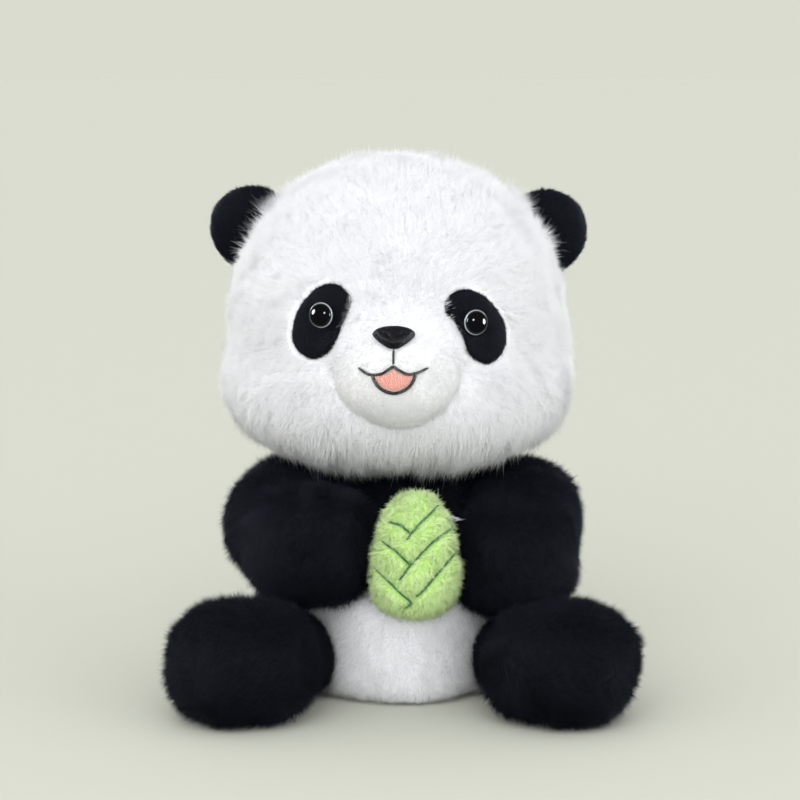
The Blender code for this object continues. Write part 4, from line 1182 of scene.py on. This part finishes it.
def head_length(p):
    low = 1 - step(p[:, 2], 106.0, 124.0)
    wide = step(np.abs(p[:, 0] - HEAD_X), 26.0, 60.0)
    base = 7.0 - 2.0 * face_share(p)
    base = base * (0.52 + 0.48 * step(muzzle_plain(p), 0.0, 15.0))
    base = base * (1 - 0.34 * step(np.abs(p[:, 0] - HEAD_X), 52.0, 72.0) * (1 - low))
    return base + 6.2 * low * (1 - 0.75 * wide) * step(-p[:, 1], 0.0, 30.0) + 1.5 * low


def head_comb(p, n):
    away = unit(p - FACE)
    low = (1 - step(p[:, 2], 108.0, 150.0))[:, None]
    down_in = np.stack((-0.006 * (p[:, 0] - HEAD_X), np.zeros(len(p)), np.full(len(p), -1.0)), 1)
    return unit(away * (1 - 0.8 * low) + down_in * (0.1 + 1.2 * low))


def head_lean(p):
    return 0.72 + 0.16 * (1 - step(p[:, 2], 106.0, 140.0)) + 0.03 * face_share(p)


def head_mask(p):
    ok = np.ones(len(p), bool)
    for s_, line_ in patch_line.items():
        inside, near = inside_outline(line_, p[:, 0], p[:, 2])
        ok &= ~((inside | (near < 1.15)) & (p[:, 1] < -20))
    ok &= muzzle_plain(p) > 0.0
    ok &= ~((p[:, 2] < 106.0) & (np.hypot(p[:, 0] - NECK[0], p[:, 1] - NECK[1]) < 24.0))
    return ok


ear_avoid = [carve(ear_plain(s), head_plain, 1.2, 1.5) for s in EAR]
arms = [arm_plain["left"], arm_plain["right"]]
legs = [leg_plain["left"], leg_plain["right"]]
patch_guard = []

def coat_length(p):
    near_ear = np.minimum(ear_plain("left")(p), ear_plain("right")(p))
    return head_length(p) + 2.0 * np.exp(-((np.maximum(near_ear, 0) / 7.0) ** 2))


def front_more(p):
    return 0.7 + 0.3 * (p[:, 1] < 0)


fur("head_fur", head_skin, 370000, coat_length, head_comb, "head", white_fur, 101,
    lean=lambda p: head_lean(p) + 0.1, width=0.09, mask=head_mask, avoid=[muzzle_plain] + ear_avoid, segments=1,
    wild=(0.22, 0.30, 0.17), clump=(16.0, 4.5), centre=HEAD_CORE, flow=0.78,
    dense=lambda p: front_more(p) * step(p[:, 2], 106.0, 124.0))
fur("fringe_fur", head_skin, 62000, head_length, head_comb, "head", white_fur, 102,
    lean=head_lean, bend=0.35, sag=0.2, width=0.075, mask=head_mask, avoid=[muzzle_plain],
    wild=(0.14, 0.20, 0.12), clump=(18.0, 5.0), spread=0.16, centre=HEAD_CORE, flow=0.82,
    dense=lambda p: front_more(p) * (1 - step(p[:, 2], 112.0, 130.0)))

fur("muzzle_fur", muzzle_skin, 34000, lambda p: np.full(len(p), 2.3), lambda p, n: unit(p - np.array((MUZZLE[0][0], -84.0, 156.0)) + np.array((0, 0, -3.0))),
    "head", cream_fur, 103, lean=0.7, bend=0.5, sag=0.1, width=0.09, segments=1,
    mask=lambda p: (head_plain(p) > 0.2) & ~inside_outline(mouth_line_, p[:, 0], p[:, 2])[0] & (np.linalg.norm(np.cross(p - nose_base, nose_way), axis=1) > 4.0),
    wild=(0.08, 0.13, 0.13), clump=(9.0, 3.0), centre=(MUZZLE[0][0], -70.0, MUZZLE[0][2]), flow=0.85)

for s in PATCH:
    e_at, e_way = eye_line[s]
    fur(f"eye_patch_{s}_fur", patch_skin[s], 7000, lambda p: np.full(len(p), 1.4), lambda p, n, e=e_at: unit(p - e + np.array((0, 0, -3.0))),
        "head", black_fur, 105, lean=0.75, bend=0.4, sag=0.1, width=0.12, segments=1,
        mask=lambda p, e=e_at, w=e_way: np.linalg.norm(np.cross(p - e, w), axis=1) > EYE_R + 0.35,
        wild=(0.1, 0.15, 0.1), clump=(8.0, 2.5), centre=e_at + e_way * -12, flow=0.7)

for s in EAR:
    turn = ear_frame(s)
    fur(f"ear_{s}_fur", ear_skin[s], 16000, lambda p: np.full(len(p), 2.0), lambda p, n, o=turn[:, 2]: unit(n * 0 + o),
        f"ear_{s}_body", black_fur, 107, lean=0.72, bend=0.4, sag=0.1, width=0.12, segments=1,
        mask=lambda p: head_plain(p) > 1.4, wild=(0.12, 0.18, 0.12), clump=(10.0, 3.0),
        centre=EAR[s], flow=0.7)


def limb_comb(direction):
    d = np.array(direction, float)

    def comb(p, n):
        return unit(np.tile(d, (len(p), 1)) + np.array((0, 0, -0.25)))

    return comb


def leg_length(p):
    """Shorter between a thigh and the belly."""
    inner = (1 - step(np.abs(p[:, 0]), 34.0, 50.0)) * step(p[:, 1], -84.0, -66.0)
    return 4.8 - 2.4 * inner


for i, s in enumerate(("left", "right")):
    m_ = 1.0 if s == "left" else -1.0
    out_dir = (m_ * 0.25, -0.9, -0.35)
    others = [shoot_plain, leg_plain[s], head_plain, body_plain]
    fur(f"arm_{s}_fur", arm_skin[s], 64000, lambda p: np.full(len(p), 4.8), limb_comb(out_dir), f"arm_{s}_body", black_fur, 111 + i,
        lean=0.68, segments=1, width=0.10, avoid=others, wild=(0.26, 0.30, 0.20), clump=(18.0, 4.0), centre=ARM_CORE[s], flow=0.6)
    others = [arm_plain[s], body_plain]
    fur(f"leg_{s}_fur", leg_skin[s], 72000, leg_length, limb_comb((m_ * 0.3, -0.8, 0.15)), f"leg_{s}_body", black_fur, 121 + i,
        lean=0.68, segments=1, width=0.10, avoid=others, wild=(0.26, 0.30, 0.20), clump=(18.0, 4.0), centre=LEG_CORE[s], flow=0.6)

fur("torso_fur", upper, 44000, lambda p: np.full(len(p), 4.8), lambda p, n: unit(np.tile((0.0, -0.1, -1.0), (len(p), 1))), "torso", black_fur, 131,
    lean=0.8, segments=1, width=0.11, avoid=arms + legs + [shoot_plain, head_plain], wild=(0.16, 0.18, 0.09), clump=(18.0, 4.0), centre=BODY_CORE, flow=0.6)
fur("belly_fur", lower, 105000, lambda p: np.full(len(p), 5.0), lambda p, n: unit(np.tile((0.0, -0.1, -1.0), (len(p), 1)) + tangent(p - np.array((0, 0, 60.0)), n) * 0.01), "torso", white_fur, 133,
    lean=0.8, segments=1, width=0.09, avoid=arms + legs, mask=lambda p: shoot_plain(p) > 2.6, wild=(0.36, 0.34, 0.22), clump=(13.0, 4.0), centre=BODY_CORE, flow=0.82)
fur("neck_fur", neck_skin, 3500, lambda p: np.full(len(p), 4.0), lambda p, n: unit(np.tile((0.0, 0.0, -1.0), (len(p), 1))), "neck", black_fur, 135,
    lean=0.7, bend=0.4, sag=0.3, width=0.14, segments=1, mask=lambda p: (p[:, 2] > 92) & (p[:, 2] < 106), wild=(0.15, 0.15, 0.1), clump=(10.0, 4.0), centre=NECK)


def shoot_length(p):
    near = np.full(len(p), 1e9)
    for line_ in stitch_lines.values():
        near = np.minimum(near, line_distance(line_, p[:, 0], p[:, 2]))
    return 3.3 - 1.8 * np.exp(-(near**2) / (2 * 1.2**2)) * (p[:, 1] < SHOOT_AT[1])


def shoot_mask(p):
    near = np.full(len(p), 1e9)
    for line_ in stitch_lines.values():
        near = np.minimum(near, line_distance(line_, p[:, 0], p[:, 2]))
    return ~((near < 0.55) & (p[:, 1] < SHOOT_AT[1]))


fur("shoot_fur", shoot_skin, 26000, shoot_length, lambda p, n: unit(np.tile((0.0, -0.05, -0.6), (len(p), 1)) + n * 0.0), "arm_left_body", lime_fur, 141,
    lean=0.4, bend=0.3, sag=0.15, width=0.13, mask=shoot_mask, avoid=[body_plain], wild=(0.3, 0.5, 0.22), clump=(7.0, 2.4), centre=SHOOT_AT, flow=0.75)

# ------------------------------------------------------------------ camera, light, floor
scene = bpy.context.scene
TILT, DIST = math.radians(8.0), 1100.0
aim = np.array((-1.7, -10.0, 123.0))
eye_place = aim - DIST * np.array((0.0, math.cos(TILT), -math.sin(TILT)))
cam_data = bpy.data.cameras.new("camera")
cam = bpy.data.objects.new("camera", cam_data)
scene.collection.objects.link(cam)
cam.location = Vector(at(eye_place))
cam.rotation_euler = (math.pi / 2 - TILT, 0.0, 0.0)
cam_data.sensor_width = 36.0
cam_data.lens = 36.0 * (DIST / 0.435) / 800.0
cam_data.clip_start, cam_data.clip_end = 0.05, 50.0
scene.camera = cam

BACK = srgb(218, 220, 207)
floor_mesh = bpy.data.meshes.new("floor")
size = 20.0
floor_mesh.from_pydata([(-size, -size, -0.0004), (size, -size, -0.0004), (size, size, -0.0004), (-size, size, -0.0004)], [], [(0, 1, 2, 3)])
floor = bpy.data.objects.new("floor", floor_mesh)
scene.collection.objects.link(floor)
floor_mat, nodes, links, shader = new_material("studio floor")
SUN, FRONT, DOME = 0.90, 0.97, 0.86
BEHIND, LEFT, RIGHT = 0.14, 0.66, 1.0
floor_gain = 0.99
total = DOME + (SUN * 0.62 + FRONT * 0.20 + BEHIND * 0.53 + (LEFT + RIGHT) * 0.16) / math.pi
shader.inputs["Base Color"].default_value = (*[min(c / total * floor_gain, 0.98) for c in BACK], 1)
shader.inputs["Roughness"].default_value = 1.0
shader.inputs["Specular IOR Level"].default_value = 0.0
floor.data.materials.append(floor_mat)

world = bpy.data.worlds.new("studio")
scene.world = world
world.use_nodes = True
wn, wl = world.node_tree.nodes, world.node_tree.links
wn.clear()
out = wn.new("ShaderNodeOutputWorld")
mixer = wn.new("ShaderNodeMixShader")
path = wn.new("ShaderNodeLightPath")
lit = wn.new("ShaderNodeBackground")
lit.inputs["Color"].default_value = (1.0, 1.0, 1.0, 1)
lit.inputs["Strength"].default_value = DOME
seen = wn.new("ShaderNodeBackground")
seen.inputs["Color"].default_value = (*BACK, 1)
dark = wn.new("ShaderNodeBackground")
dark.inputs["Color"].default_value = (1.0, 1.0, 1.0, 1)
dark.inputs["Strength"].default_value = 0.18
gloss = wn.new("ShaderNodeMixShader")
wl.new(path.outputs["Is Glossy Ray"], gloss.inputs[0])
wl.new(lit.outputs[0], gloss.inputs[1])
wl.new(dark.outputs[0], gloss.inputs[2])
where = wn.new("ShaderNodeTexCoord")
total_box = None
for az, el, wide in ((-85.0, 16.0, 13.0), (87.0, 2.0, 13.0), (5.0, 20.0, 6.5)):
    az, el = math.radians(az), math.radians(el)
    dot = wn.new("ShaderNodeVectorMath")
    dot.operation = "DOT_PRODUCT"
    wl.new(where.outputs["Generated"], dot.inputs[0])
    dot.inputs[1].default_value = (math.sin(az) * math.cos(el), -math.cos(az) * math.cos(el), math.sin(el))
    box = wn.new("ShaderNodeMapRange")
    box.interpolation_type = "SMOOTHSTEP"
    box.inputs["From Min"].default_value = math.cos(math.radians(wide * 1.15))
    box.inputs["From Max"].default_value = math.cos(math.radians(wide * 0.85))
    box.inputs["To Min"].default_value = 0.0
    box.inputs["To Max"].default_value = 70.0
    wl.new(dot.outputs["Value"], box.inputs["Value"])
    add = wn.new("ShaderNodeMath")
    add.operation = "ADD"
    wl.new(box.outputs[0], add.inputs[0])
    if total_box is None:
        add.inputs[1].default_value = 0.12
    else:
        wl.new(total_box, add.inputs[1])
    total_box = add.outputs[0]
wl.new(total_box, dark.inputs["Strength"])
wl.new(path.outputs["Is Camera Ray"], mixer.inputs[0])
wl.new(gloss.outputs[0], mixer.inputs[1])
wl.new(seen.outputs[0], mixer.inputs[2])
wl.new(mixer.outputs[0], out.inputs[0])


def sun(name, energy, spread, direction, colour=(1, 1, 1)):
    data = bpy.data.lights.new(name, "SUN")
    data.energy, data.angle, data.color = energy, math.radians(spread), colour
    obj = bpy.data.objects.new(name, data)
    obj.rotation_mode = "QUATERNION"
    obj.rotation_quaternion = Vector(direction).to_track_quat("-Z", "Y")
    scene.collection.objects.link(obj)
    return obj


sun("key", SUN, 50.0, (0.12, 0.75, -0.62))
sun("front", FRONT, 50.0, (0.05, 1.0, -0.20))
sun("behind", BEHIND, 70.0, (0.1, -0.8, -0.5))
sun("left", LEFT, 45.0, (0.74, 0.65, -0.16), (0.93, 0.96, 1.0))
sun("right", RIGHT, 45.0, (-0.74, 0.65, -0.16), (0.93, 0.96, 1.0))
data = bpy.data.lights.new("overhead", "AREA")
data.shape, data.size, data.size_y, data.energy = "RECTANGLE", 0.7, 0.5, 0.95
data.color = (0.95, 0.97, 1.0)
obj = bpy.data.objects.new("overhead", data)
obj.location = (0.0, -0.75, 0.62)
obj.rotation_mode = "QUATERNION"
obj.rotation_quaternion = (Vector((0, -0.02, 0.06)) - obj.location).to_track_quat("-Z", "Y")
scene.collection.objects.link(obj)
for name in ("key", "front", "behind", "left", "right", "overhead"):
    bpy.data.objects[name].visible_glossy = False
floor.visible_glossy = False

scene.view_settings.view_transform = "Standard"
scene.view_settings.look = "None"
scene.view_settings.exposure = 0.0
scene.view_settings.gamma = 1.0
